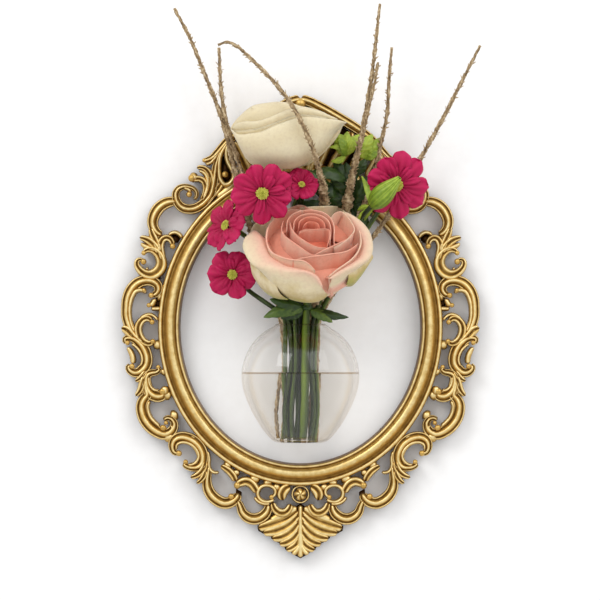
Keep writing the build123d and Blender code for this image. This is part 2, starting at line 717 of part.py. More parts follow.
def tube(points, radius):
    path = FilletPolyline(*points, radius=bend_radii(points))
    start = Plane(origin=points[0], z_dir=points[1] - points[0])
    return sweep(start * Circle(radius), path=path)


def stem(name, radius):
    return tube(slot_points(name, radius) + route(route_pixels_and_depth_shares[name]), radius)


def seat_plane(name):
    place, facing = bloom_seats_pixels_and_depth_shares[name]
    return Plane(origin=traced(place), x_dir=(facing[2], 0, -facing[0]), z_dir=facing)


def bloom_stem(name, radius):
    """A stem that runs into its bloom's base from straight behind it."""
    seat = seat_plane(name)
    points = slot_points(name, radius) + route(route_pixels_and_depth_shares[name])
    points += [seat.origin - seat.z_dir * stem_lead, seat.origin - seat.z_dir * seat_gap]
    return tube(points, radius)


# A rose head's half section: radius and height as shares of its radius and height
rose_shares = [
    (0.14, 0.0), (0.42, 0.05), (0.72, 0.17), (0.92, 0.33), (1.0, 0.52), (0.96, 0.60), (0.86, 0.50),
    (0.76, 0.62), (0.77, 0.78), (0.68, 0.76), (0.56, 0.66), (0.50, 0.80), (0.48, 0.94),
    (0.38, 0.92), (0.30, 0.80), (0.20, 0.94), (0.0, 1.0),
]


def rose_head(radius, height):
    points = [(share[0] * radius, share[1] * height) for share in rose_shares]
    section = Plane.XZ * make_face(Polyline((0, 0), *points, close=True))
    return revolve(section, Axis.Z)


daisy_dome_share = 0.22
daisy_petal_width_share = 0.42


def daisy_head(name):
    """A ring of drooping petals round a domed centre, with a short cup behind."""
    radius = daisy_radii[name]
    dome = daisy_dome_share * radius
    length = radius - dome / 2
    width = daisy_petal_width_share * radius
    outline_face = Pos(dome / 2 + length / 2, 0) * Ellipse(length / 2, width / 2)
    petal = Rot(0, petal_droop, 0) * extrude(outline_face, petal_thickness)
    head = Pos(0, 0, petal_thickness) * Cylinder(dome, petal_thickness * 2)
    upwards = (Align.CENTER, Align.CENTER, Align.MIN)
    head += Pos(0, 0, petal_thickness) * Sphere(dome, arc_size1=0, align=upwards)
    for n in range(daisy_petals[name]):
        head += Rot(0, 0, n * 360 / daisy_petals[name]) * petal
    return seat_plane(name) * head


# A bud's half section: radius and height as shares of its radius and length
bud_shares = [(0.25, 0.0), (0.75, 0.15), (1.0, 0.42), (0.88, 0.72), (0.50, 0.93), (0.0, 1.0)]


def bud_head():
    points = [(share[0] * bud_radius, share[1] * bud_length) for share in bud_shares]
    side = Spline(*points)
    base = Polyline(points[-1], (0, 0), points[0])
    section = Plane.XZ * make_face(Wire(side.edges() + base.edges()))
    return seat_plane("bud") * revolve(section, Axis.Z)


def leaf_blade(base, tip, width):
    """A thin pointed blade from base to tip, its flat side towards the room."""
    run = tip - base
    across = run.cross(Vector(0, 1, 0))
    plane = Plane(origin=base, x_dir=run, z_dir=run.cross(across))
    length = run.length
    upper = ThreePointArc((0, 0), (length / 2, width / 2), (length, 0))
    lower = ThreePointArc((length, 0), (length / 2, -width / 2), (0, 0))
    return extrude(plane * make_face(Wire([upper, lower])), leaf_thickness / 2, both=True)


def sprig(name):
    """A leafy stalk: every leaf starts at its end."""
    stalk = stem(name, sprig_radius)
    end = traced(route_pixels_and_depth_shares[name][-1])
    stalk += Pos(*end) * Sphere(sprig_radius)
    for tip, width in sprig_leaves_pixels_and_depth_shares[name]:
        stalk += leaf_blade(end, traced(tip), width * scale_mean)
    return stalk


def rose_leaves():
    """The leaves under the pink rose, on a collar round its stem."""
    mouth = slot_points("pink_rose", rose_stem_radius)[-1]
    above = traced(route_pixels_and_depth_shares["pink_rose"][0])
    middle = (mouth + above) * 0.5
    plane = Plane(origin=middle, z_dir=above - mouth)
    inner = rose_stem_radius + leaf_collar_gap
    outer = inner + leaf_collar_wall
    leaves = plane * Cylinder(outer, leaf_collar_height)
    for tip, width in rose_leaves_pixels_and_depth_shares:
        way = traced(tip) - middle
        base = middle + way.normalized() * (inner + leaf_collar_wall / 2)
        leaves += leaf_blade(base, traced(tip), width * scale_mean)
    return leaves - plane * Cylinder(inner, outer * 2)


def make_flowers():
    made = {}
    made["pink_rose_bloom"] = seat_plane("pink_rose") * rose_head(pink_rose_radius, pink_rose_height)
    flattened = scale(rose_head(cream_rose_radius, cream_rose_height), (1, cream_flat_share, 1))
    made["cream_rose_bloom"] = seat_plane("cream_rose") * flattened
    for name in ("pink_rose", "cream_rose"):
        made[name + "_stem"] = bloom_stem(name, rose_stem_radius)
    for name in daisy_radii:
        made[name + "_bloom"] = daisy_head(name)
        made[name + "_stem"] = bloom_stem(name, flower_stem_radius)
    made["bud_head"] = bud_head()
    made["bud_stem"] = bloom_stem("bud", flower_stem_radius)
    made["rose_leaves"] = rose_leaves()
    for name in sprig_leaves_pixels_and_depth_shares:
        made[name] = sprig(name)
    for name in ("twig_left", "twig_bent", "twig_arched", "twig_tall", "twig_short", "twig_far"):
        made[name] = stem(name, twig_radius)
    made["twig_tall"] += tube(route(twig_branch_pixels_and_depth_shares), twig_radius)
    return made


parts = {"oval_moulding": make_moulding(), **make_scrollwork()}
parts["hanger_strap"] = make_strap()
parts["strap_screws"] = make_screws()
parts["hanging_ring"] = make_ring()
parts["peg_sleeve"] = make_sleeve()
parts["wall_bumpers"] = make_bumpers()
parts["glass_vase"] = make_vase()
parts.update(make_flowers())

os.makedirs("parts", exist_ok=True)
for node, shape in parts.items():
    export_step(shape, f"parts/{node}.step")
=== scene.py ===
import math
import random

import bmesh
import bpy
import numpy as np
from mathutils import Matrix, Vector


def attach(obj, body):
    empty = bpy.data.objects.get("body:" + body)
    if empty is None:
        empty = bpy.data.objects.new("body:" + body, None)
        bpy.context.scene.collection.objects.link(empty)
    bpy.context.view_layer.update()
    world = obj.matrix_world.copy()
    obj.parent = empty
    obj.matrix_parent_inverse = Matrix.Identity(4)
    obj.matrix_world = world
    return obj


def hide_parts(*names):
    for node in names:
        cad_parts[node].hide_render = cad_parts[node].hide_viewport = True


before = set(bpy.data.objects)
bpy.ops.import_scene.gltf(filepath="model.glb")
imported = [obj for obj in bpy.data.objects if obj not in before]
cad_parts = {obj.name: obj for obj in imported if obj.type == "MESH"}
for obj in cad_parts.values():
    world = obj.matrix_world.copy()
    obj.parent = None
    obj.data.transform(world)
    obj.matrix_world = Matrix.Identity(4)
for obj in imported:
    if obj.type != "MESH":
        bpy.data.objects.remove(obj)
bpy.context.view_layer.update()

# Metres in the part's frame: +X right, -Y out of the wall, +Z up. The photograph's pixels map to
# the frame's front by the middle of the oval.
MM = 0.001
SCALE = 0.8 * MM
PHOTO_X, PHOTO_Y = 300.4, 327.0
IMAGE_SIDE = 600
OVAL_HALF_WIDTH, OVAL_HALF_HEIGHT = 113.6 * MM, 126.8 * MM
OVAL_Z = -141.3 * MM
FRAME_BACK = -4.0 * MM
MOULDING_WIDTH, MOULDING_DEPTH = 18.0 * MM, 16.0 * MM


def at_x(px):
    return (px - PHOTO_X) * SCALE


def at_z(py):
    return OVAL_Z + (PHOTO_Y - py) * SCALE


def link(made):
    bpy.context.scene.collection.objects.link(made)
    return made


def circle(count):
    """Cosine and sine at even steps round a circle."""
    return [(math.cos(math.tau * j / count), math.sin(math.tau * j / count)) for j in range(count)]


def round_rows(profile, count, place):
    """Rows round an axis for a profile of radius and height: place turns x, y, height into a point."""
    return [[place(out * cos, out * sin, height) for cos, sin in circle(count)] for out, height in profile]


def face_outwards(mesh):
    shell = bmesh.new()
    shell.from_mesh(mesh)
    bmesh.ops.recalc_face_normals(shell, faces=shell.faces)
    shell.to_mesh(mesh)
    shell.free()


class Build:
    """Collects the vertices and faces of one mesh, and one named number per vertex."""

    def __init__(self, attribute):
        self.verts, self.faces, self.tones = [], [], []
        self.attribute = attribute

    def grid(self, rows, tone, closed_u=False, closed_v=False):
        """Adds a grid of points; tone is one number or a grid of them."""
        start = len(self.verts)
        height, width = len(rows), len(rows[0])
        tones = [[tone] * width] * height if isinstance(tone, float) else tone
        for row, tone_row in zip(rows, tones):
            self.verts.extend(row)
            self.tones.extend(tone_row)
        for i in range(height if closed_v else height - 1):
            this, below = start + i * width, start + (i + 1) % height * width
            for j in range(width if closed_u else width - 1):
                after = (j + 1) % width
                self.faces.append((this + j, this + after, below + after, below + j))
        return start

    def fan(self, start, count, centre, tone, flip=False):
        """Closes a ring of points with a fan to one centre point."""
        middle = len(self.verts)
        self.verts.append(centre)
        self.tones.append(tone)
        for j in range(count):
            a, b = start + j, start + (j + 1) % count
            self.faces.append((b, a, middle) if flip else (a, b, middle))

    def ball(self, centre, radii, tone, rings, segments):
        """A round ball, pole along Y, with its own radii in X, Y and Z."""
        centre = Vector(centre)
        polars = [math.pi * i / rings for i in range(1, rings)]
        profile = [(math.sin(polar), -math.cos(polar)) for polar in polars]
        sizes = Matrix.Diagonal(radii)
        rows = round_rows(profile, segments, lambda x, z, y: centre + sizes @ Vector((x, y, z)))
        start = self.grid(rows, tone, closed_u=True)
        pole = Vector((0, radii[1], 0))
        self.fan(start, segments, centre - pole, tone, flip=True)
        self.fan(start + (rings - 2) * segments, segments, centre + pole, tone)

    def mesh(self, name):
        mesh = bpy.data.meshes.new(name)
        mesh.from_pydata([tuple(v) for v in self.verts], [], self.faces)
        return mesh

    def piece(self, name, body, slot, material, node=None):
        """The finished piece, which rides on a body and may replace a node of the frame."""
        mesh = self.mesh(name)
        mesh.validate()
        layer = mesh.attributes.new(self.attribute, "FLOAT", "POINT")
        layer.data.foreach_set("value", np.array(self.tones, np.float32))
        mesh.polygons.foreach_set("use_smooth", [True] * len(mesh.polygons))
        mesh.update()
        mesh.materials.append(material)
        piece = link(bpy.data.objects.new(name, mesh))
        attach(piece, body)
        if node:
            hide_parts(node)
        return piece


def evenly(dense, count):
    """Count positions at even steps along a dense line of points."""
    lengths = [0.0]
    for a, b in zip(dense, dense[1:]):
        lengths.append(lengths[-1] + math.dist(a, b))
    out, k = [], 0
    for i in range(count):
        goal = lengths[-1] * i / (count - 1)
        while k < len(lengths) - 2 and lengths[k + 1] < goal:
            k += 1
        span = lengths[k + 1] - lengths[k]
        share = 0.0 if span == 0 else (goal - lengths[k]) / span
        out.append(dense[k] + (dense[k + 1] - dense[k]) * min(max(share, 0.0), 1.0))
    return out


def spline(points, count):
    """A smooth centripetal curve through the points: count positions at even steps along it."""
    pts = [np.array(p, float) for p in points]
    ends = [2 * pts[0] - pts[1], *pts, 2 * pts[-1] - pts[-2]]
    dense = []
    fine = 12
    for four in zip(ends, ends[1:], ends[2:], ends[3:]):
        knots = [0.0]
        for before, after in zip(four, four[1:]):
            knots.append(knots[-1] + max(np.linalg.norm(after - before), 1e-9) ** 0.5)
        for k in range(fine):
            t = knots[1] + (knots[2] - knots[1]) * k / fine
            level = list(four)
            for reach, gaps in ((1, (0, 1, 2)), (2, (0, 1)), (1, (1,))):
                level = [
                    ((knots[g + reach] - t) * a + (t - knots[g]) * b) / (knots[g + reach] - knots[g])
                    for g, a, b in zip(gaps, level, level[1:])
                ]
            dense.append(level[0])
    dense.append(pts[-1])
    return evenly(dense, count)


def mix_list(values, along):
    """The value at a share of the way along a list of evenly spaced values."""
    place = along * (len(values) - 1)
    low = min(int(place), len(values) - 2)
    return values[low] + (values[low + 1] - values[low]) * (place - low)


# Materials

class Nodes:
    """A small helper round a material's node tree."""

    def __init__(self, name):
        self.material = bpy.data.materials.new(name)
        self.material.use_nodes = True
        self.tree = self.material.node_tree
        self.tree.nodes.clear()
        self.out = self.tree.nodes.new("ShaderNodeOutputMaterial")

    def feed(self, socket, value):
        """Links a socket to another one, or sets it to a plain value."""
        if isinstance(value, bpy.types.NodeSocket):
            self.tree.links.new(value, socket)
        else:
            socket.default_value = value

    def add(self, kind, inputs=None, **settings):
        node = self.tree.nodes.new("ShaderNode" + kind)
        for key, value in settings.items():
            setattr(node, key, value)
        for key, value in (inputs or {}).items():
            self.feed(node.inputs[key], value)
        return node

    def principled(self, **inputs):
        return self.add("BsdfPrincipled", {key.replace("_", " "): value for key, value in inputs.items()})

    def surface(self, shader):
        """Ends the material with a shader and gives the material."""
        self.feed(self.out.inputs["Surface"], shader.outputs[0])
        return self.material

    def blended(self, share, first, second):
        """Ends the material with two shaders mixed."""
        return self.surface(self.add("MixShader", {0: share, 1: first.outputs[0], 2: second.outputs[0]}))

    def ramp(self, factor, stops):
        node = self.add("ValToRGB", {"Fac": factor})
        while len(node.color_ramp.elements) < len(stops):
            node.color_ramp.elements.new(0.5)
        for element, (position, colour) in zip(node.color_ramp.elements, stops):
            element.position = position
            element.color = (*colour, 1.0)
        return node.outputs["Color"]

    def attribute(self, name):
        return self.add("Attribute", attribute_name=name).outputs["Fac"]

    def noise(self, scale, detail=3.0, roughness=0.55, stretch=None):
        where = self.add("TexCoord").outputs["Object"]
        if stretch:
            where = self.add("Mapping", {"Vector": where, "Scale": stretch}).outputs[0]
        inputs = {"Vector": where, "Scale": scale, "Detail": detail, "Roughness": roughness}
        return self.add("TexNoise", inputs).outputs["Fac"]

    def maths(self, operation, a, b, clamp=False):
        return self.add("Math", {0: a, 1: b}, operation=operation, use_clamp=clamp).outputs[0]

    def varied(self, attribute, pattern, amount):
        """The attribute, moved up and down by a pattern round its middle."""
        swing = self.maths("MULTIPLY", self.maths("SUBTRACT", pattern, 0.5), amount)
        return self.maths("ADD", self.attribute(attribute), swing)

    def multiplied(self, share, colour, tint):
        inputs = {0: share, 6: colour, 7: (*tint, 1.0)}
        return self.add("Mix", inputs, data_type="RGBA", blend_type="MULTIPLY").outputs[2]

    def bump(self, height, strength, distance):
        inputs = {"Height": height, "Strength": strength, "Distance": distance}
        return self.add("Bump", inputs).outputs["Normal"]


def gilt_material():
    """Antique gold leaf by the attribute ridge: pale on the ridges, a painted highlight, and dark brown
    in the grooves and on the side walls, patina deepened by painted shade.
    """
    n = Nodes("antique_gilt")
    worn = n.noise(220.0, 4.0, 0.6)
    fine = n.noise(1500.0, 2.0, 0.5)
    colour = n.ramp(n.varied("ridge", worn, 0.42), [
        (0.0, (0.040, 0.016, 0.003)), (0.22, (0.125, 0.058, 0.010)), (0.50, (0.40, 0.235, 0.050)),
        (0.78, (0.66, 0.43, 0.125)), (1.0, (0.93, 0.76, 0.38)),
    ])
    rough = n.maths("ADD", n.maths("MULTIPLY", worn, 0.22), 0.28)
    normal = n.bump(n.maths("ADD", worn, n.maths("MULTIPLY", fine, 0.35)), 0.35, 0.0004)
    return n.surface(n.principled(Base_Color=colour, Metallic=0.80, Roughness=rough, Normal=normal))


def steel_material():
    n = Nodes("zinc_plated_steel")
    grain = n.noise(900.0, 3.0, 0.6, (1.0, 1.0, 0.06))
    colour = n.ramp(grain, [(0.2, (0.42, 0.43, 0.44)), (0.8, (0.66, 0.67, 0.68))])
    rough = n.maths("ADD", n.maths("MULTIPLY", grain, 0.2), 0.28)
    normal = n.bump(grain, 0.15, 0.0002)
    return n.surface(n.principled(Base_Color=colour, Metallic=1.0, Roughness=rough, Normal=normal))


def rubber_material():
    n = Nodes("matt_rubber")
    grain = n.noise(1600.0, 3.0, 0.6)
    colour = n.ramp(grain, [(0.2, (0.018, 0.018, 0.018)), (0.8, (0.045, 0.045, 0.045))])
    return n.surface(n.principled(Base_Color=colour, Roughness=0.75, Normal=n.bump(grain, 0.3, 0.0002)))


def clear_material(name, swirl, strength, distance, stops, line, passed, **gloss):
    """Glass or water: its colour runs by stops towards its outline, where it darkens to tan as
    painted shade, and is multiplied by line where tone is 1, a painted dark line along the glass's
    rim and the water's surface. Shadow and diffuse rays pass it with a pale tint only, as through thin
    glass."""
    n = Nodes(name)
    grazing = n.add("LayerWeight", {"Blend": 0.5}).outputs["Facing"]
    shader = n.principled(
        Base_Color=n.multiplied(n.attribute("tone"), n.ramp(grazing, stops), line),
        Roughness=0.0, Transmission_Weight=1.0,
        Normal=n.bump(n.noise(swirl, 2.0, 0.4), strength, distance), **gloss,
    )
    path = n.add("LightPath")
    faint = n.maths("MAXIMUM", path.outputs["Is Shadow Ray"], path.outputs["Is Diffuse Ray"])
    return n.blended(faint, shader, n.add("BsdfTransparent", {"Color": (*passed, 1.0)}))


def petal_material(name, stops, vein_scale, sheen=0.3, span=1.0):
    """Petal: coloured by the attribute tone, which may go up to span, with veins and some
    translucence."""
    n = Nodes(name)
    soft = n.noise(120.0, 3.0, 0.6)
    vein = n.noise(vein_scale, 2.0, 0.5)
    level = n.maths("DIVIDE", n.varied("tone", soft, 0.18), span)
    colour = n.ramp(level, [(at / span, shade) for at, shade in stops])
    veins = n.maths("MULTIPLY", n.maths("SUBTRACT", vein, 0.45), 0.35, clamp=True)
    colour = n.multiplied(veins, colour, (0.35, 0.12, 0.08))
    normal = n.bump(n.maths("ADD", vein, soft), 0.25, 0.0004)
    shader = n.principled(
        Base_Color=colour, Roughness=0.55, Sheen_Weight=sheen, Sheen_Roughness=0.4,
        Specular_IOR_Level=0.35, Normal=normal,
    )
    return n.blended(0.22, shader, n.add("BsdfTranslucent", {"Color": colour, "Normal": normal}))


def plant_material(name, dark, mid, light, scale, rough, stretch=None, bump=0.4):
    """Stem, leaf or bark: three colours mottled by noise and lifted by the attribute tone."""
    n = Nodes(name)
    mottled = n.noise(scale, 4.0, 0.6, stretch)
    colour = n.ramp(n.varied("tone", mottled, 0.7), [(0.1, dark), (0.5, mid), (0.9, light)])
    return n.surface(n.principled(
        Base_Color=colour, Roughness=rough, Specular_IOR_Level=0.4, Normal=n.bump(mottled, bump, 0.0006)))


def wall_material():
    """White paint, seen from the room only: the wall's back and shadow rays let the view through."""
    n = Nodes("white_wall")
    colour = n.ramp(n.noise(90.0, 3.0, 0.6), [(0.3, (0.925, 0.92, 0.915)), (0.7, (0.955, 0.952, 0.95))])
    back = n.add("NewGeometry").outputs["Backfacing"]
    behind = n.maths("MAXIMUM", back, n.add("LightPath").outputs["Is Shadow Ray"])
    return n.blended(behind, n.add("BsdfDiffuse", {"Color": colour}), n.add("BsdfTransparent"))


GILT = gilt_material()
STEEL = steel_material()
RUBBER = rubber_material()
# Towards their outlines, and where tone is 1 on the lip and the water's surface, the glass and the water
# are painted darker: painted shade.
GLASS = clear_material(
    "clear_glass", 16.0, 0.04, 0.0008,
    [(0.0, (0.995, 0.995, 0.99)), (0.62, (0.98, 0.97, 0.955)), (0.86, (0.55, 0.45, 0.36))],
    (0.62, 0.53, 0.44), (0.985, 0.98, 0.975), IOR=1.30, Coat_Weight=0.4, Coat_Roughness=0.0, Coat_IOR=1.5,
)
WATER = clear_material(
    "flower_water", 60.0, 0.05, 0.0004,
    [(0.0, (0.998, 0.992, 0.982)), (0.38, (0.985, 0.96, 0.925)), (0.72, (0.66, 0.50, 0.34))],
    (0.45, 0.33, 0.22), (0.995, 0.985, 0.97), IOR=1.14,
)
# Tone 0, deep red, is painted shade deep in the rose; past 1 the tan and green are partly the outer petals'
# own colour and partly painted shade below their lips.
PINK = petal_material("pink_petal", [
    (0.0, (0.66, 0.085, 0.035)), (0.22, (0.86, 0.24, 0.14)), (0.50, (0.91, 0.43, 0.30)),
    (0.74, (0.91, 0.60, 0.45)), (1.0, (0.87, 0.76, 0.52)), (1.12, (0.66, 0.51, 0.21)),
    (1.3, (0.37, 0.41, 0.05)),
], 420.0, 0.3, 1.3)
# The cream ramp's low, brown end is painted shade.
CREAM = petal_material("cream_petal", [
    (0.0, (0.42, 0.31, 0.11)), (0.3, (0.62, 0.48, 0.22)), (0.65, (0.78, 0.65, 0.39)),
    (1.0, (0.88, 0.79, 0.56)),
], 420.0)
MAGENTA = petal_material("magenta_petal", [
    (0.0, (0.08, 0.001, 0.008)), (0.30, (0.32, 0.002, 0.032)), (0.65, (0.60, 0.006, 0.100)),
    (1.0, (0.88, 0.080, 0.36)),
], 900.0, 0.05)
DISC = plant_material(
    "daisy_centre", (0.16, 0.17, 0.01), (0.42, 0.42, 0.04), (0.70, 0.66, 0.14), 2400.0, 0.7)
STEM = plant_material(
    "green_stem", (0.005, 0.010, 0.001), (0.040, 0.070, 0.003), (0.17, 0.25, 0.015), 150.0, 0.42,
    (1, 1, 0.12))
LEAF_LIGHT = plant_material(
    "light_leaf", (0.05, 0.10, 0.006), (0.17, 0.27, 0.014), (0.42, 0.54, 0.06), 190.0, 0.45)
LEAF_DARK = plant_material(
    "dark_leaf", (0.012, 0.03, 0.006), (0.045, 0.095, 0.012), (0.17, 0.25, 0.04), 190.0, 0.4)
BARK = plant_material(
    "dry_bark", (0.08, 0.045, 0.020), (0.36, 0.25, 0.13), (0.80, 0.66, 0.44), 900.0, 0.9, None, 0.9)

# Camera, wall and light. A lamp has its place, the length of its sides and its power.
CAMERA_DISTANCE = 4.0
HORIZON_PX = 373.0
SENSOR = 36.0
WALL_Y = 0.15 * MM
WALL_HALF = 3.0
WORLD_COLOUR = (0.80, 0.80, 0.80, 1.0)
WORLD_LEVEL = 1.02
LAMPS = [
    ("key", (-1.15, -1.55, 1.15), 1.0, 16.0),
    ("fill", (1.5, -1.8, 1.3), 1.8, 20.0),
    ("rear", (0.7, 1.8, 0.6), 1.6, 14.0),
]


def make_camera():
    data = bpy.data.cameras.new("camera")
    data.sensor_width = SENSOR
    data.lens = SENSOR * CAMERA_DISTANCE / (IMAGE_SIDE * SCALE)
    data.shift_y = (HORIZON_PX - IMAGE_SIDE / 2) / IMAGE_SIDE
    data.clip_end = 30.0
    camera = link(bpy.data.objects.new("camera", data))
    camera.location = (at_x(IMAGE_SIDE / 2), -CAMERA_DISTANCE, at_z(HORIZON_PX))
    camera.rotation_euler = (math.radians(90), 0, 0)
    bpy.context.scene.camera = camera


def make_wall():
    """A white wall just behind the bumpers."""
    corners = [(-1, -1), (1, -1), (1, 1), (-1, 1)]
    mesh = bpy.data.meshes.new("wall")
    mesh.from_pydata([(x * WALL_HALF, WALL_Y, z * WALL_HALF) for x, z in corners], [], [(0, 1, 2, 3)])
    mesh.materials.append(wall_material())
    link(bpy.data.objects.new("wall", mesh))


def make_light():
    """A soft key from the upper left, a fill from the right and a lamp for the back."""
    world = bpy.data.worlds.new("studio")
    bpy.context.scene.world = world
    world.use_nodes = True
    background = world.node_tree.nodes["Background"]
    background.inputs["Color"].default_value = WORLD_COLOUR
    background.inputs["Strength"].default_value = WORLD_LEVEL
    for name, place, side, power in LAMPS:
        data = bpy.data.lights.new(name, "AREA")
        data.size = side
        data.energy = power
        lamp = link(bpy.data.objects.new(name, data))
        lamp.location = place
        way = Vector((0.0, 0.0, OVAL_Z)) - Vector(place)
        lamp.rotation_euler = way.to_track_quat("-Z", "Y").to_euler()
        lamp.visible_transmission = False


make_camera()
make_wall()
make_light()
bpy.context.scene.view_settings.view_transform = "Standard"

# The oval moulding's profile from its outer wall inwards, as shares of width and depth, each with
# how bright the gilding is there: painted highlights on the beads and the torus, and patina with
# painted shade in the cove and on the walls
MOULDING_PROFILE = [
    (0.0, 0.0, 0.3), (0.0, 0.3, 0.34), (0.0, 0.5, 0.46), (0.02, 0.575, 0.7), (0.06, 0.635, 0.88),
    (0.105, 0.66, 1.0), (0.15, 0.635, 0.84), (0.18, 0.585, 0.58), (0.2, 0.55, 0.24), (0.235, 0.545, 0.32),
    (0.28, 0.57, 0.46), (0.315, 0.63, 0.58), (0.345, 0.71, 0.66), (0.375, 0.79, 0.72),
    (0.41, 0.865, 0.78), (0.46, 0.935, 0.84), (0.52, 0.98, 0.9), (0.57, 0.99, 0.94), (0.63, 0.97, 0.88),
    (0.69, 0.905, 0.74), (0.74, 0.81, 0.52), (0.765, 0.755, 0.18), (0.785, 0.755, 0.28),
    (0.81, 0.785, 0.86), (0.845, 0.812, 1.0), (0.88, 0.785, 0.86), (0.91, 0.73, 0.42), (0.93, 0.66, 0.24),
    (0.955, 0.56, 0.22), (0.98, 0.45, 0.2), (1.0, 0.345, 0.22), (1.0, 0.19, 0.1), (0.725, 0.188, 0.05),
    (0.722, 0.0, 0.05),
]


def make_moulding():
    around = circle(360)
    rows = [
        [
            Vector((
                (OVAL_HALF_WIDTH - across * MOULDING_WIDTH) * cos,
                FRAME_BACK - deep * MOULDING_DEPTH,
                OVAL_Z + (OVAL_HALF_HEIGHT - across * MOULDING_WIDTH) * sin,
            ))
            for across, deep, _ in MOULDING_PROFILE
        ]
        for cos, sin in around
    ]
    build = Build("ridge")
    tones = [tone for _, _, tone in MOULDING_PROFILE]
    build.grid(rows, [tones] * len(around), closed_u=True, closed_v=True)
    build.piece("gilt_moulding", "frame", "gilt_wood", GILT, "oval_moulding")


make_moulding()

# Carving. A strand has a profile ("b" broad with a bead along each edge, "g" grooved, "r" round),
# its traced spine, its widths in pixels at even steps, and its lift: how far its ridge stands
# above the common ridge, in millimetres. A ball has its place, radius and lift. A web is the
# outline of a floor between strands, painted near black as the shade in a deep recess. Only the
# left half is traced.
RIDGE_LEVEL = 10.2
FLOOR_LEVEL = 4.6
PENDANT_LEVEL = 8.0
PENDANT_FLOOR = 4.4
STRAND_WIDENING = 1.30
SPINE_STEP = 1.5
LAYER_STEP = 0.03
BALL_SIZE = 0.88
BALL_RINGS, BALL_SEGMENTS = 10, 18
# The webs' floors are near black: painted shade of a deep recess.
RECESS_SHADE_TONE = 0.02
BALL_TONE = 0.72

# Profiles: across from edge to edge, height as a share of the strand's, and how bright it is:
# painted highlights on the beads and ridges, painted shade on the side walls, and patina with
# painted shade in the grooves
BEADED = [
    (-1.0, 0.0, 0.12), (-1.0, 0.3, 0.2), (-1.0, 0.52, 0.34), (-0.95, 0.68, 0.56), (-0.86, 0.78, 0.92),
    (-0.76, 0.8, 0.9), (-0.68, 0.74, 0.5), (-0.62, 0.68, 0.26), (-0.54, 0.7, 0.34), (-0.4, 0.82, 0.56),
    (-0.22, 0.94, 0.78), (0.0, 1.0, 1.0), (0.22, 0.94, 0.82), (0.4, 0.82, 0.6), (0.54, 0.7, 0.34),
    (0.62, 0.68, 0.26), (0.68, 0.74, 0.5), (0.76, 0.8, 0.9), (0.86, 0.78, 0.92), (0.95, 0.68, 0.56),
    (1.0, 0.52, 0.34), (1.0, 0.3, 0.2), (1.0, 0.0, 0.12),
]
GROOVED = [
    (-1.0, 0.0, 0.12), (-1.0, 0.3, 0.2), (-1.0, 0.5, 0.34), (-0.94, 0.68, 0.55), (-0.78, 0.88, 0.84),
    (-0.5, 1.0, 1.0), (-0.22, 0.92, 0.66), (-0.04, 0.8, 0.28), (0.1, 0.78, 0.26), (0.28, 0.88, 0.6),
    (0.52, 0.97, 0.92), (0.76, 0.88, 0.86), (0.94, 0.68, 0.55), (1.0, 0.5, 0.34), (1.0, 0.3, 0.2),
    (1.0, 0.0, 0.12),
]
ROUND = [
    (-1.0, 0.0, 0.12), (-1.0, 0.3, 0.2), (-1.0, 0.48, 0.34), (-0.92, 0.68, 0.54), (-0.66, 0.88, 0.74),
    (-0.3, 0.98, 0.94), (0.0, 1.0, 1.0), (0.3, 0.98, 0.9), (0.66, 0.88, 0.7), (0.92, 0.68, 0.54),
    (1.0, 0.48, 0.34), (1.0, 0.3, 0.2), (1.0, 0.0, 0.12),
]
PROFILES = {"b": BEADED, "g": GROOVED, "r": ROUND}

UPPER = [
    ("b", [(221, 152), (219, 157), (216.5, 165), (215.5, 172), (214.5, 180), (213, 188), (211, 195),
     (207, 200.5), (202, 205.2), (196, 208.6), (190, 209.6), (184, 208.6), (179.5, 205.3), (176.6, 200),
     (176.2, 194), (178.6, 189.6), (183, 187.4), (189, 187.4), (194, 189.2), (196.8, 193), (196.6, 197),
     (194, 200)], [3.5, 6, 7, 7.5, 8, 7.5, 6, 4, 3], 1.2),
    ("g", [(197, 168.5), (200, 167.8), (205, 169), (209, 173), (210.8, 178), (211, 184), (210, 190),
     (208, 195)], [3, 5.5, 6, 5], 0.2),
    ("r", [(199, 171.5), (203, 172.6), (206.5, 176), (208, 181), (207.8, 187), (206, 193),
     (203.5, 198.5)], [2, 4.2, 4.6, 3], 0.6),
    ("g", [(192.5, 180.5), (196, 179.4), (200, 179.4), (203.6, 181.4), (205.6, 185.6), (205.8, 190.5),
     (204.2, 196), (201.6, 200.5)], [5, 5.5, 5, 3.5], 1.0),
    ("r", [(184, 188.5), (189, 190), (191.5, 193)], [3, 3.4, 3], 0.4),
    ("b", [(176.5, 202.4), (172, 202), (165, 204), (158.6, 209), (154.4, 216), (153, 223), (154.5, 229),
     (158, 233.2), (162.5, 235.6)], [7, 9, 9.5, 9, 8, 6], 0.4),
    ("g", [(222, 183), (219, 188), (214, 194), (208, 200.5), (200, 206.5)], [6, 6.5, 6, 5], -1.6),
    ("r", [(236, 180), (228, 190), (217, 198)], [7, 8, 7], -2.4),
    ("r", [(190, 178.8), (194, 178.2), (197.5, 179.6)], [7.5, 8.5, 6], 1.2),
]
UPPER_BALLS = [(189.4, 195, 3.3, 1.2), (192.4, 178.8, 4.4, 1.4)]
UPPER_WEBS = [[(211, 180), (222, 183), (221, 190), (213, 197), (208, 199)]]

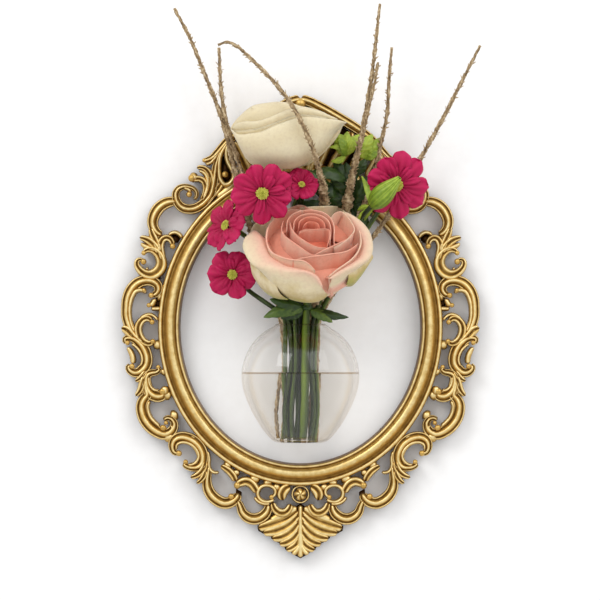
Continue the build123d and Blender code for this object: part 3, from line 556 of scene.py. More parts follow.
SIDE = [
    ("g", [(151, 228.5), (152.6, 234), (155.4, 240), (157.8, 246), (160, 252)], [4, 6.5, 6.5, 5], 0.4),
    ("g", [(140, 237.8), (146, 239.4), (151, 242.3), (155.6, 247), (160, 253)], [3.5, 6.5, 7, 5.5], 1.0),
    ("r", [(141, 243.4), (145, 246.2), (150, 248.2), (156, 251)], [2.5, 4.4, 5, 4], 0.0),
    ("r", [(168.5, 235.8), (172, 233.4), (176, 232.8), (180, 235), (182.5, 238.6)], [2.6, 3.4, 3.6, 3],
     0.0),
    ("g", [(173, 245.6), (172.4, 242.4), (170.2, 239.4), (167, 238.2), (163.6, 239.6), (161.4, 243.4),
     (160.8, 248), (162, 254), (163.6, 260)], [4.4, 5.4, 6, 6.4, 6, 5], 1.2),
    ("g", [(144, 253.4), (146, 251), (150, 249.8), (155, 251.4), (159.6, 256), (161.8, 262), (161, 267.6),
     (157.4, 272.4), (151.8, 275), (146, 274.2), (140.6, 270.4), (137.4, 265), (138, 261), (141, 259.8),
     (143.6, 261.2)], [3.5, 6, 8.5, 9.5, 9, 7, 5, 3], 1.0),
    ("r", [(146, 268.8), (149, 269.2)], [2.4, 2.4], 0.4),
    ("b", [(152.4, 295.8), (156.4, 294), (158.8, 289.6), (157.4, 284.6), (152, 281.2), (145, 280.8),
     (138.6, 283), (133.4, 287.4), (129.8, 293.2), (127.6, 300), (126.8, 308), (126.8, 316), (128.6, 323),
     (131.4, 330), (135.4, 335.4), (139.4, 339.4), (143.4, 342.4)], [5, 7.5, 8.5, 9, 9, 8.5, 8, 8, 7, 5],
     0.9),
    ("r", [(147, 293.4), (144, 291), (140, 290.2), (135.8, 291.8), (132.6, 297), (130.6, 304), (130, 311),
     (130.6, 319), (132.4, 326), (135, 332)], [3, 4.2, 4.2, 3.8, 3.4, 2.6], 0.2),
    ("r", [(149, 275), (151, 281)], [9, 9], -2.2),
    ("r", [(156.6, 299.4), (154.4, 301.2), (152.8, 304), (149.8, 305.4)], [3, 4.6, 4.8, 4], 1.0),
    ("r", [(151.4, 308.8), (161, 308.8)], [3.6, 4], -0.6),
    ("r", [(157, 295.5), (163, 297.5)], [8.5, 8.5], -2.0),
    ("g", [(152, 321.6), (150, 319.4), (147, 318.4), (143.2, 319.9), (140, 323.8), (138.6, 329),
     (139.6, 335), (142.4, 340), (146.2, 342.8), (150, 343.6), (153, 341.6)],
     [4.4, 5.6, 6.4, 6.8, 6.8, 6, 4.4], 1.1),
    ("r", [(158.4, 320.6), (154.6, 316.4), (150, 314.4), (145, 315.7), (140, 319)], [2.6, 3, 3, 2.6],
     0.0),
    ("r", [(153.5, 343.5), (162, 346)], [7.5, 8], -1.6),
    ("g", [(121.8, 328), (125, 328.8), (128.6, 331), (131.4, 334.4), (136, 338)], [5, 7.5, 7.5, 6], 0.9),
    ("b", [(127.6, 343), (125.6, 341), (125.8, 338.9), (129.4, 338), (134.4, 339), (139.2, 342.4),
     (143.2, 347.2), (146, 353), (147.3, 359), (146.3, 365), (142.8, 369.6), (138, 372.6), (133.2, 372.2),
     (129.6, 369.2), (129.2, 366.4), (131.4, 365.4)], [4, 6, 8.5, 9.5, 9.5, 9, 7, 4.5], 1.0),
    ("r", [(132, 343.5), (137, 347.4), (140.6, 352), (142.6, 358), (142.2, 363), (140, 366.6)],
     [2.4, 3, 3, 2.4], 0.2),
    ("r", [(128, 347), (130.4, 350.5), (132.6, 355), (133.6, 360), (133, 364)], [3, 4.6, 4.8, 4], 0.6),
    ("g", [(135.4, 381), (139.2, 379.4), (143, 376), (146.4, 371)], [2.6, 5, 6, 5], 0.4),
    ("g", [(135.8, 396), (138.7, 393), (141.2, 389), (143, 383), (145, 376)], [3, 5.6, 6.4, 5.6], 0.8),
]
SIDE_BALLS = [
    (173, 246.6, 3.3, 1.0), (144, 262, 3.5, 1.2), (151.6, 295.6, 3.2, 1.2), (144.2, 253.4, 2.8, 0.8),
    (149.3, 305.4, 2.7, 1.0), (152.5, 322.3, 3.0, 1.0), (153.2, 341.4, 3.0, 1.0), (128, 342.8, 2.8, 1.0),
    (132.6, 366.2, 3.1, 1.2), (144.4, 290.6, 2.6, 0.6),
]
SIDE_WEBS = [
    [(170, 236), (176, 234), (181, 238), (178, 243), (173, 243)],
    [(155, 300), (161, 299), (161, 308), (156, 308)],
    [(150, 276), (158, 272), (162, 276), (158, 283), (150, 282)],
]

LOWER = [
    ("b", [(158, 367), (159.4, 369.6), (157, 372), (152.4, 372.8), (148.6, 374.4), (146.8, 378.4),
     (146.9, 384), (148.6, 390), (152.2, 394.2), (157, 396.3), (161.6, 396), (165, 393.4)],
     [4, 5.5, 7, 8.5, 9.5, 9.5, 8], 0.9),
    ("r", [(163.6, 386), (164.8, 390), (163, 394.5)], [6, 8, 8], 1.2),
    ("r", [(161, 370), (168, 374)], [5, 6], -1.6),
    ("r", [(163, 393.5), (172, 396)], [8.5, 9], -1.8),
    ("r", [(149.4, 376.4), (149.4, 382), (151.4, 387), (155, 390), (160, 390.2)], [2.4, 3, 3, 2.6], 0.0),
    ("b", [(146.5, 380), (146, 388), (147.6, 395), (144.4, 399), (142.2, 404), (142.2, 410), (144.2, 417),
     (147.8, 423), (152.6, 428), (158.4, 431.8), (164.4, 433.8), (170, 432.4), (173.6, 428.4),
     (174.6, 423.4), (171.8, 419), (167.6, 417.8), (163.6, 420)],
     [5, 7.5, 8.5, 9.5, 10, 10, 9.5, 8, 5.5, 3.6], 0.9),
    ("r", [(150.4, 400.6), (148.4, 405), (148.9, 412), (151.7, 418), (155.7, 422.3), (160.4, 426.4)],
     [2.6, 3.4, 3.4, 3], 0.2),
    ("r", [(171.4, 424.6), (172.6, 428), (169.8, 431.6), (165, 433)], [2.2, 2.8, 3, 3], 0.6),
    ("r", [(171, 417), (178, 413)], [8, 9], -1.8),
    ("r", [(164, 436), (174, 437.5)], [8.5, 8.5], -1.4),
    ("b", [(179, 453), (174.9, 452), (172.8, 447), (173.8, 441.4), (177.6, 438), (183, 437), (190, 438.8),
     (196, 442.6), (200.6, 448.4), (202.9, 455), (202.4, 462), (198.6, 466.4), (193, 467.4), (187, 466),
     (183.4, 463)], [4, 6.5, 8.5, 9.5, 9.5, 9.5, 8.5, 6, 4], 0.9),
    ("r", [(176.6, 449.8), (177, 445), (180.6, 442.4), (185, 442), (191, 444), (196.4, 448.8), (199, 455),
     (197.2, 460.6), (193, 464), (188, 464.6)], [2.4, 3, 3, 3, 2.4], 0.2),
    ("r", [(188, 441), (196, 436)], [9, 8.5], -1.8),
    ("r", [(200, 452), (205.5, 452)], [8.5, 8], -1.8),
    ("g", [(190.6, 477), (195, 476), (200, 473), (204, 467.8), (205.8, 461)], [3, 5.6, 6.4, 5.4], 0.6),
    ("g", [(196.6, 483), (200.2, 480.8), (204, 476), (206, 470)], [2.6, 4.6, 5.4, 5], 0.9),
]
LOWER_BALLS = [
    (163.6, 427.6, 3.6, 1.2), (166.4, 422.6, 2.5, 0.8), (179.4, 453, 3.4, 1.1), (186, 461.6, 2.8, 1.0),
    (158.6, 367, 2.5, 0.8), (163.2, 391.4, 4.2, 1.4),
]
LOWER_WEBS = [[(199, 447), (205, 450), (207, 458), (203, 462)]]

FOOT = [
    ("r", [(208, 451), (209.5, 458), (209.2, 465), (211, 470), (215, 472.3), (219.5, 472)],
     [2.4, 2.8, 3, 3, 2.6], 0.0),
    ("b", [(209, 466), (208.4, 473), (207.4, 479), (207.6, 485), (209.4, 491), (213, 496.2),
     (218.6, 500.6), (225, 502.8), (231.6, 501.4), (236.4, 497.6), (238.8, 493)],
     [4, 6.5, 8.5, 9.5, 9.5, 9, 7], 0.8),
    ("g", [(221, 465.4), (225, 467.6), (229.6, 471), (233.4, 475.6), (236, 481)], [4, 6, 6.4, 5.4], 0.8),
    ("r", [(225, 467), (231, 462.5)], [7.5, 8], -1.8),
    ("r", [(232, 474), (240, 471)], [5.5, 6], -1.8),
    ("g", [(236.6, 485), (241, 482.4), (246, 481), (251, 483), (255, 487.6), (257.4, 492.5)],
     [5.5, 7.5, 8, 7.5, 6], 1.1),
    ("r", [(250, 480), (260, 476.5)], [8.5, 8.5], -1.6),
    ("r", [(272, 497), (275, 494), (275, 489), (271, 485.8), (265, 485), (260.2, 487.4), (257.8, 492.4),
     (259.2, 497.6), (264, 501), (270, 501), (274.6, 498.8)], [2.6, 3.4, 3.6, 3.6, 3.4, 3], 0.9),
    ("r", [(254.4, 496.4), (258, 500.8), (264, 503.4), (270.4, 503.4)], [2.6, 3.2, 3.2, 2.6], 0.2),
    ("r", [(264, 484.5), (272, 479.5)], [6.5, 7], -1.6),
    ("r", [(273, 489), (280, 485)], [6.5, 8], -1.6),
    ("b", [(237.6, 500), (240.4, 506), (242.4, 511.6), (246.4, 516), (252, 518.4), (258.4, 518),
     (264, 514.8), (267.6, 509.8), (268.8, 504)], [5, 7, 8.8, 9.2, 8.6, 6], 0.6),
    ("g", [(272.4, 502), (275, 508.6), (279.8, 512.2), (285, 512.2), (288.8, 508.8), (291, 503.6)],
     [4.4, 6.4, 7.4, 6.6, 5], 0.8),
    ("g", [(290, 485.5), (285, 488.8), (282, 494), (283, 500)], [6, 8.5, 8.5, 6], 1.2),
]
FOOT_BALLS = [(237.5, 485, 4.0, 1.4), (231.5, 496, 3.5, 1.3), (271.6, 496.6, 2.8, 1.1)]
FOOT_WEBS = [[(236, 488), (242, 492), (241, 502), (236, 499)]]

CREST = [
    ("b", [(203.6, 161.6), (207.4, 160.6), (212.2, 158.6), (217.2, 154), (222.2, 148), (226.6, 143),
     (231, 139), (238, 133.5), (246, 128), (255, 122.4), (264, 117), (273, 111.8), (282, 107),
     (291, 102.6), (300.4, 99.6)], [4, 6.5, 7, 7.5, 8, 8, 8, 8, 8], 1.4),
    ("r", [(205.6, 165), (210, 163.8), (214, 160.2), (218, 154.6), (224, 147.4), (229, 143)],
     [2.4, 3.2, 3.6, 3.4], 0.6),
    ("r", [(228, 143.6), (224, 149.4), (220.8, 156), (219.6, 163), (219.4, 170), (219.8, 177),
     (221.6, 181.6), (225, 185), (229, 184.4), (232, 181.6), (233.8, 178), (233.4, 173), (230.8, 168),
     (227.8, 162), (226.6, 156), (226.8, 150), (228.6, 144.6)], [3, 4, 4.2, 4.2, 4.2, 4, 3.6], 1.4),
    ("g", [(233, 143), (236, 147), (240, 155), (245, 165), (251, 180)], [6, 9, 10, 9], 0.6),
    ("g", [(250, 132), (254, 146), (263, 161), (272, 176)], [7, 11, 12, 9], 0.6),
    ("g", [(268, 121), (273, 138), (281, 154), (288, 174)], [7, 12, 13, 9], 0.8),
    ("g", [(285, 112), (288, 130), (293, 150), (297, 174)], [7, 12, 13, 9], 1.0),
    ("r", [(240, 182), (260, 176), (280, 172), (300.4, 171)], [9, 11, 9], -2.0),
]
CREST_BALLS = [(225.2, 175, 3.6, 1.4), (204.6, 161, 2.4, 0.8)]
CREST_WEBS = [
    [(221, 158), (226, 156), (232, 168), (233, 178), (228, 184), (221, 180)],
    [(243, 138), (262, 124), (282, 112), (299, 104), (299, 172), (252, 180)],
]
KNOB = (300.4, 104.5, 6.6, 2.0)

PENDANT_EDGE = [
    (300.4, 503), (291, 510), (283, 513.6), (276, 517), (268, 520.6), (257.4, 525.6), (258.2, 530.4),
    (263.4, 533.4), (270.4, 535.2), (271.4, 538.2), (275.2, 541), (279.4, 542.8), (281.2, 545),
    (284.4, 546.8), (285.6, 549.4), (291, 552), (293.4, 554.2), (300.4, 558),
]
PENDANT = [
    ("r", [(297, 507), (288, 512.6), (279, 516.6), (270, 520.4)], [5, 8, 9, 6], -0.2),
    ("g", [(298, 510), (287, 518), (274, 523.4), (258.6, 527.6)], [5, 9, 10.5, 6], 0.2),
    ("g", [(298.6, 515), (289, 524.6), (278, 530), (263.4, 532.6)], [5, 9, 9.5, 5], 0.5),
    ("g", [(299, 522), (291, 531.6), (282.6, 536.4), (272.2, 538.2)], [5, 8.5, 8.5, 4.6], 0.7),
    ("g", [(299.4, 530), (293.4, 538), (287, 542), (279.4, 543.6)], [5, 7.6, 7.6, 4.2], 0.9),
    ("g", [(299.8, 538), (296, 544.4), (291.6, 547.6), (286, 549.6)], [4.4, 6.6, 6.6, 3.8], 1.0),
    ("r", [(300, 544), (297.4, 549), (294.6, 552), (291.6, 553)], [3.6, 5.4, 5, 3], 1.1),
]
PENDANT_RIB = (
    "r", [(300.4, 505), (300.4, 520), (300.4, 534), (300.4, 546), (300.4, 557)], [3.6, 4, 5, 7.5, 4], 1.2)


def carved_point(px, py, side, depth):
    """A point of the carving's left half, or its mirror image where side is -1."""
    return Vector((at_x(px) * side, FRAME_BACK - depth * MM, at_z(py)))


def add_strand(build, kind, points, widths, lift, side, level, index=0):
    """One carved strand: its profile swept along the spine, with rounded ends."""
    length = sum(math.dist(a, b) for a, b in zip(points, points[1:]))
    steps = max(8, int(length / SPINE_STEP))
    spine = spline(points, steps + 1)
    rows, tones = [], []
    for i, place in enumerate(spine):
        along = i / steps
        way = spine[min(i + 1, steps)] - spine[max(i - 1, 0)]
        way = way / np.linalg.norm(way)
        end_run = (widths[0] if along < 0.5 else widths[-1]) / 2
        close = min(1.0, min(along, 1 - along) * length / end_run)
        narrow = math.sqrt(1 - (1 - close) ** 2)
        half = mix_list(widths, along) / 2 * STRAND_WIDENING * max(narrow, 0.06)
        top = (level + lift - LAYER_STEP * (index % 5)) * (0.72 + 0.28 * narrow)
        profile = PROFILES[kind][::side]
        rows.append([
            carved_point(place[0] - way[1] * half * u, place[1] + way[0] * half * u, side, v * top)
            for u, v, _ in profile
        ])
        # The tone drops where the strand narrows to its ends against the floor: painted shade.
        tones.append([tone * (0.55 + 0.45 * narrow) for _, _, tone in profile])
    build.grid(rows, tones)


def add_ball(build, ball, side):
    px, py, radius, lift = ball
    size = radius * SCALE * BALL_SIZE
    centre = carved_point(px, py, side, RIDGE_LEVEL + lift - 0.6 * radius)
    build.ball(centre, (size, 0.95 * size, size), BALL_TONE, BALL_RINGS, BALL_SEGMENTS)


def add_web(build, outline, side, level):
    """A flat floor between strands, with short walls, all painted dark as shade."""
    start = len(build.verts)
    count = len(outline)
    for depth in (0.0, level):
        build.verts.extend(carved_point(px, py, side, depth) for px, py in outline)
    build.tones.extend([RECESS_SHADE_TONE] * 2 * count)
    for j in range(count):
        a, b = start + j, start + (j + 1) % count
        build.faces.append((a, b, b + count, a + count))
    build.faces.append(tuple(range(start + count, start + 2 * count)))


def carve(name, node, sides, strands, balls, webs, level=RIDGE_LEVEL, floor=FLOOR_LEVEL,
          knob=None, rib=None):
    """A carved piece of the frame, on the left (1), the right (-1) or both."""
    build = Build("ridge")
    for side in sides:
        for index, parts in enumerate(strands):
            add_strand(build, *parts, side, level, index)
        for ball in balls:
            add_ball(build, ball, side)
        for outline in webs:
            add_web(build, outline, side, floor)
    if knob:
        add_ball(build, knob, 1)
    if rib:
        add_strand(build, *rib, 1, level)
    build.piece(name, "frame", "gilt_wood", GILT, node)


for section, strands, balls, webs in (
    ("upper", UPPER, UPPER_BALLS, UPPER_WEBS), ("side", SIDE, SIDE_BALLS, SIDE_WEBS),
    ("lower", LOWER, LOWER_BALLS, LOWER_WEBS), ("foot", FOOT, FOOT_BALLS, FOOT_WEBS),
):
    for half, side in (("left", 1), ("right", -1)):
        carve(f"carved_{section}_{half}", f"scroll_{section}_{half}", [side], strands, balls, webs)
carve("carved_crest", "crest_scroll", [1, -1], CREST, CREST_BALLS, CREST_WEBS, knob=KNOB)
carve("carved_pendant_leaf", "pendant_leaf", [1, -1], PENDANT, [], [PENDANT_EDGE],
      PENDANT_LEVEL, PENDANT_FLOOR, rib=PENDANT_RIB)

# The bud in the middle of the bottom run, in its ring. The ring's profile has its radius in
# pixels, its height off the frame's back in millimetres and its tone: pale on top, a painted
# highlight, and dark at its foot and inner wall, patina with painted shade.
BUD_PX, BUD_PY = 300.4, 494.0
BUD_RADIUS = 6.3
BUD_FOOT, BUD_RISE = 7.0, 5.0
RING_PROFILE = [
    (9.5, 0, 0.1), (9.5, 4.6, 0.3), (8.9, 6.6, 0.9), (8.2, 7.3, 1.0), (7.4, 6.8, 0.6),
    (6.9, 5.2, 0.1), (6.9, 0, 0.05),
]


def bud_point(out, cos, sin, height):
    x, z = at_x(BUD_PX) + out * SCALE * cos, at_z(BUD_PY) + out * SCALE * sin
    return Vector((x, FRAME_BACK - height * MM, z))


def make_bud_ring():
    around = circle(40)
    rows = [[bud_point(out, cos, sin, height) for out, height, _ in RING_PROFILE] for cos, sin in around]
    build = Build("ridge")
    build.grid(rows, [[tone for _, _, tone in RING_PROFILE]] * len(around), closed_v=True)
    build.piece("bud_ring", "frame", "gilt_wood", GILT, "bud_cup")


def make_centre_bud():
    """A plain round bud with closed petals."""
    rings, around, petals = 14, 60, 5
    rows, tones = [], []
    for i in range(rings):
        share = i / (rings - 1)
        quarter = share * math.pi / 2
        lobes = [abs(math.sin(math.pi * j / around * petals + share * 1.2)) for j in range(around)]
        rows.append([
            bud_point(
                BUD_RADIUS * math.cos(quarter * 0.98) * (0.90 + 0.10 * lobe), cos, sin,
                BUD_FOOT + BUD_RISE * math.sin(quarter) * (0.94 + 0.06 * lobe) if i else 0.0,
            )
            for lobe, (cos, sin) in zip(lobes, circle(around))
        ])
        # Lobes pale and the clefts and foot dark: painted highlight and painted shade over the patina.
        tones.append([0.15 + 0.85 * lobe if i else 0.1 for lobe in lobes])
    build = Build("ridge")
    start = build.grid(rows, tones, closed_u=True)
    build.fan(start + (rings - 1) * around, around, bud_point(0, 0, 0, BUD_FOOT + BUD_RISE), 0.8)
    build.piece("carved_bud", "frame", "gilt_wood", GILT, "centre_bud")


make_bud_ring()
make_centre_bud()
for node, material in (("hanger_strap", STEEL), ("strap_screws", STEEL), ("hanging_ring", STEEL),
                       ("peg_sleeve", RUBBER), ("wall_bumpers", RUBBER)):
    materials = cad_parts[node].data.materials
    materials.clear()
    materials.append(material)

# The bowl and its water
BOWL_SEGMENTS, BOWL_RINGS, WATER_RINGS = 144, 60, 90
VASE_Y = -19.3 * MM
VASE_BASE_Z = -233.7 * MM
VASE_HEIGHT = 94.0 * MM
RIM_Z = VASE_BASE_Z + VASE_HEIGHT
MOUTH_RADIUS = 17.7 * MM
VASE_BACK = 15.0 * MM
VASE_WALL = 2.5 * MM
FLOOR_THICK = 3.0
PEG_HOLE_Z = -152.7 * MM
PEG_HOLE_RADIUS = 5.2 * MM
PEG_HOLE_SEGMENTS = 48
LIP_TONE_HEIGHT = 93.2
WATER_LEVEL = (at_z(373.0) - VASE_BASE_Z) / MM
WATER_OVERLAP = 0.12

# The bowl's outline: radius and height above its base, in millimetres
BOWL_OUTER = [
    (17.0, 0.0), (21.8, 1.6), (27.4, 7.2), (34.7, 17.6), (42.1, 32.0), (46.2, 44.8), (47.0, 54.4),
    (46.2, 61.0), (42.9, 71.2), (37.2, 80.6), (29.6, 88.0), (23.4, 91.8), (20.2, 94.0),
]
BOWL_LIP = [(19.9, 94.5), (19.1, 94.75), (18.4, 94.5)]
BOWL_INNER = [
    (14.0, 3.0), (19.6, 4.6), (25.4, 9.6), (32.4, 19.2), (39.7, 33.0), (43.7, 45.0), (44.5, 54.2),
    (43.7, 60.6), (40.6, 70.2), (35.2, 79.0), (27.8, 86.2), (21.4, 90.6), (17.9, 93.8),
]


def turned(build, profile, low, high):
    """Turns a profile of radius, height, room to the wall and tone round the bowl's axis. Its flat
    back stands that room behind the axis, and its ends close at the heights low and high."""
    rows = [
        [
            Vector((radius * MM * cos, VASE_Y + min(radius * MM * sin, back), VASE_BASE_Z + height * MM))
            for cos, sin in circle(BOWL_SEGMENTS)
        ]
        for radius, height, back, _ in profile
    ]
    start = build.grid(rows, [[tone] * BOWL_SEGMENTS for *_, tone in profile], closed_u=True)
    last = start + (len(rows) - 1) * BOWL_SEGMENTS
    ends = ((start, low, profile[0][-1], True), (last, high, profile[-1][-1], False))
    for ring, height, tone, flip in ends:
        build.fan(ring, BOWL_SEGMENTS, Vector((0, VASE_Y, VASE_BASE_Z + height * MM)), tone, flip)


def make_bowl():
    sides = (
        (spline(BOWL_OUTER, BOWL_RINGS), VASE_BACK), (BOWL_LIP, VASE_BACK - VASE_WALL),
        (spline(BOWL_INNER, BOWL_RINGS)[::-1], VASE_BACK - VASE_WALL),
    )
    build = Build("tone")
    # Tone 1 on the lip, for a painted dark line along the rim
    turned(build, [
        (radius, height, back, float(height > LIP_TONE_HEIGHT))
        for points, back in sides for radius, height in points
    ], 0.0, FLOOR_THICK)
    bowl = build.piece("glass_bowl", "vase", "clear_glass", GLASS)

    # The hole for the peg, through the flat back
    ends = [
        [
            Vector((PEG_HOLE_RADIUS * cos, VASE_Y + deep, PEG_HOLE_Z + PEG_HOLE_RADIUS * sin))
            for cos, sin in circle(PEG_HOLE_SEGMENTS)
        ]
        for deep in (VASE_BACK - 6.0 * MM, VASE_BACK + 4.0 * MM)
    ]
    cutter = Build("tone")
    cutter.grid(ends, 0.0, closed_u=True)
    cutter.faces.append(tuple(range(PEG_HOLE_SEGMENTS)))
    cutter.faces.append(tuple(range(2 * PEG_HOLE_SEGMENTS - 1, PEG_HOLE_SEGMENTS - 1, -1)))
    tool = link(bpy.data.objects.new("peg_hole_cutter", cutter.mesh("peg_hole_cutter")))
    face_outwards(tool.data)
    face_outwards(bowl.data)
    cut = bowl.modifiers.new("peg_hole", "BOOLEAN")
    cut.object = tool
    cut.operation = "DIFFERENCE"
    cut.solver = "EXACT"
    graph = bpy.context.evaluated_depsgraph_get()
    holed = bpy.data.meshes.new_from_object(bowl.evaluated_get(graph))
    bowl.modifiers.clear()
    bowl.data = holed
    bpy.data.objects.remove(tool)
    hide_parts("glass_vase")


def make_water():
    """Water up to its level, which overlaps the glass by a hair so that no air gap shows."""
    level, over = WATER_LEVEL, WATER_OVERLAP
    dense = spline(BOWL_INNER, WATER_RINGS)
    wall = next(radius for radius, height in dense if height >= level)
    outline = [(radius + over, height - over) for radius, height in dense if height < level - 1.0]
    outline += [
        (wall + over, level - 0.4), (wall + over, level + 0.5), (wall - 0.5, level + 0.12),
        (wall - 1.6, level), (wall * 0.6, level), (wall * 0.2, level),
    ]
    back = VASE_BACK - VASE_WALL + over * MM
    build = Build("tone")
    # Tone 1 on the water's surface, for a painted dark line there
    turned(build, [(radius, height, back, float(height > level - 0.7)) for radius, height in outline],
           FLOOR_THICK - over, level)
    face_outwards(build.piece("bowl_water", "vase", "clear_glass", WATER).data)


make_bowl()
make_water()

# Flowers. Every stem starts on the bowl's floor, passes its slot in the mouth and goes on by its
# traced route. A slot is its place across and its depth, as shares of the mouth's radius. A place
# is a traced pixel with its depth as a share of the bunch's reach.
REACH = 100.0 * MM
FLOOR_RADIUS = 14.9 * MM
SWAY = 2.6 * MM
CORNER_SHARE = 0.45
CORNER_STEPS = 8
SLOTS = {
    "pink_rose": (0.26, -0.75), "cream_rose": (-0.04, -0.44), "daisy_low": (-0.50, -0.62),
    "daisy_mid": (-0.24, -0.80), "daisy_left": (-0.65, -0.42), "daisy_front": (-0.37, -0.36),
    "twig_left": (-0.86, -0.10), "twig_bent": (-0.70, -0.19), "twig_arched": (0.24, -0.40),
    "sprig_light": (-0.10, -0.16), "sprig_dark": (0.10, -0.17), "twig_tall": (0.33, -0.14),
    "twig_short": (0.55, -0.18), "bud": (0.57, -0.53), "daisy_right": (0.75, -0.32),
    "twig_far": (0.84, -0.10),
}
ROUTES = {
    "pink_rose": [(308.5, 298, 0.385)],
    "cream_rose": [(299, 300, 0.258), (300, 222, 0.255), (300, 200, 0.31), (300, 185, 0.365)],
    "daisy_front": [(286, 300, 0.255), (278, 225, 0.26), (266, 197, 0.42)],
    "daisy_left": [(275, 285, 0.28), (256, 245, 0.295)],
    "daisy_low": [(270, 306, 0.335), (247, 290, 0.255)],
    "daisy_mid": [(292, 300, 0.275), (291, 225, 0.262), (294, 206, 0.34)],
    "daisy_right": [(327, 300, 0.265), (360, 240, 0.265), (383, 205, 0.262)],
    "bud": [(320, 300, 0.28), (354, 228, 0.33)],
    "sprig_light": [(306, 300, 0.23), (317, 230, 0.232), (330, 185, 0.24), (343, 158, 0.25)],
    "sprig_dark": [(311.5, 300, 0.23), (330, 230, 0.232), (350, 190, 0.24), (366, 162, 0.27)],
    "twig_left": [
        (274, 288, 0.225), (254, 240, 0.228), (237, 180, 0.235), (230, 148, 0.25),
        (222, 118, 0.265), (207, 80, 0.28), (190, 38, 0.29), (175, 11, 0.295),
    ],
    "twig_bent": [
        (280, 290, 0.235), (262, 240, 0.24), (244, 180, 0.25), (233, 145, 0.27),
        (225, 118, 0.285), (221, 88, 0.29), (219.5, 50, 0.295),
    ],
    "twig_arched": [
        (310, 300, 0.275), (322, 230, 0.262), (324, 208, 0.31), (323, 190, 0.50),
        (318, 170, 0.68), (311, 148, 0.80), (302, 128, 0.82), (290, 106, 0.72),
        (275, 87, 0.64), (258, 69, 0.58), (240, 52, 0.54), (229, 45.5, 0.52), (219, 49, 0.51),
    ],
    "twig_tall": [
        (316, 300, 0.232), (342, 230, 0.235), (347, 205, 0.29), (352, 175, 0.36),
        (361, 140, 0.42), (366, 110, 0.44), (371, 80, 0.45), (375, 45, 0.46), (379, 8, 0.47),
    ],
    "twig_short": [
        (321, 300, 0.235), (353, 230, 0.24), (372, 185, 0.27), (382, 138, 0.30),
        (387, 115, 0.31), (388, 85, 0.32), (391, 50, 0.33),
    ],
    "twig_far": [
        (328, 303, 0.23), (373, 237, 0.235), (397, 205, 0.235), (415, 168, 0.245),
        (437, 130, 0.27), (465, 75, 0.30), (479, 48, 0.31),
    ],
}
# Where the base of each bloom is, and which way it faces
SEATS = {
    "pink_rose": ((309, 277, 0.44), (0.04, -0.78, 0.62)),
    "cream_rose": ((299, 172, 0.40), (-0.16, -0.30, 0.94)),
    "daisy_front": ((263, 195, 0.72), (0.0, -0.96, -0.28)),
    "daisy_left": ((231, 229, 0.44), (-0.72, -0.62, 0.30)),
    "daisy_low": ((234, 275, 0.38), (-0.15, -0.97, -0.10)),
    "daisy_mid": ((301, 190, 0.51), (0.10, -0.85, 0.50)),
    "daisy_right": ((394, 186, 0.42), (0.20, -0.95, -0.20)),
    "bud": ((371, 208, 0.50), (0.66, -0.36, 0.66)),
}


def traced(place):
    px, py, share = place
    return Vector((at_x(px), -share * REACH, at_z(py)))


def seat_matrix(name):
    """The bloom's own frame: its base at the origin, its face towards +Z."""
    place, facing = SEATS[name]
    z = Vector(facing).normalized()
    x = Vector((facing[2], 0.0, -facing[0])).normalized()
    turn = Matrix((x, z.cross(x), z)).transposed().to_4x4()
    return Matrix.Translation(traced(place)) @ turn


def placer(name):
    """A function that turns x, y, z in millimetres in a bloom's own frame into a point."""
    matrix = seat_matrix(name)
    return lambda x, y, z: matrix @ (Vector((x, y, z)) * MM)


def stalk_points(name, radius):
    """A stem's corners: its foot on the bowl's floor, two bends, its slot and its traced route."""
    across, deep = SLOTS[name]
    x, y = across * MOUTH_RADIUS, deep * MOUTH_RADIUS
    foot_x = 0.90 * x - 0.12 * MOUTH_RADIUS
    beyond = math.hypot(foot_x, y) + radius - FLOOR_RADIUS
    sway = SWAY * math.sin(31.0 * across + 7.0 * deep)
    corners = (
        (foot_x, VASE_BASE_Z + 3.4 * MM + 0.9 * max(0.0, beyond)),
        (0.90 * x - 0.10 * MOUTH_RADIUS + sway, VASE_BASE_Z + 0.30 * VASE_HEIGHT),
        (0.93 * x - 0.8 * sway, VASE_BASE_Z + 0.66 * VASE_HEIGHT),
        (x, RIM_Z + 5.0 * MM),
    )
    return [Vector((px, VASE_Y + y, pz)) for px, pz in corners] + [traced(p) for p in ROUTES[name]]


def rounded_path(points, step=1.6 * MM):
    """A polyline with rounded corners, in even steps."""
    dense = [points[0]]
    for before, corner, after in zip(points, points[1:], points[2:]):
        cut = CORNER_SHARE * min((corner - before).length, (after - corner).length)
        enter = corner + (before - corner).normalized() * cut
        leave = corner + (after - corner).normalized() * cut
        for k in range(CORNER_STEPS + 1):
            t = k / CORNER_STEPS
            dense.append((1 - t) ** 2 * enter + 2 * t * (1 - t) * corner + t * t * leave)
    dense.append(points[-1])
    total = sum(math.dist(a, b) for a, b in zip(dense, dense[1:]))
    return evenly(dense, max(3, int(total / step) + 1))


def tube(build, path, sides, radius_at, tone_at=lambda along, j: 0.5, wobble=lambda i, j: 1.0):
    """A tube along a path; radius_at gives its radius by share, wobble a factor per point."""
    rows, tones = [], []
    last = len(path) - 1
    side = Vector((0, 1, 0))
    for i, place in enumerate(path):
        along = i / last
        way = (path[min(i + 1, last)] - path[max(i - 1, 0)]).normalized()
        side = (side - way * side.dot(way)).normalized()
        other = way.cross(side)
        factors = [wobble(i, j) for j in range(sides)]
        rows.append([
            place + (side * cos + other * sin) * radius_at(along) * factor
            for factor, (cos, sin) in zip(factors, circle(sides))
        ])
        tones.append([tone_at(along, j) + (factor - 1.0) * 0.6 for j, factor in enumerate(factors)])
    start = build.grid(rows, tones, closed_u=True)
    build.fan(start, sides, path[0], 0.3, flip=True)
    build.fan(start + last * sides, sides, path[-1], 0.3)


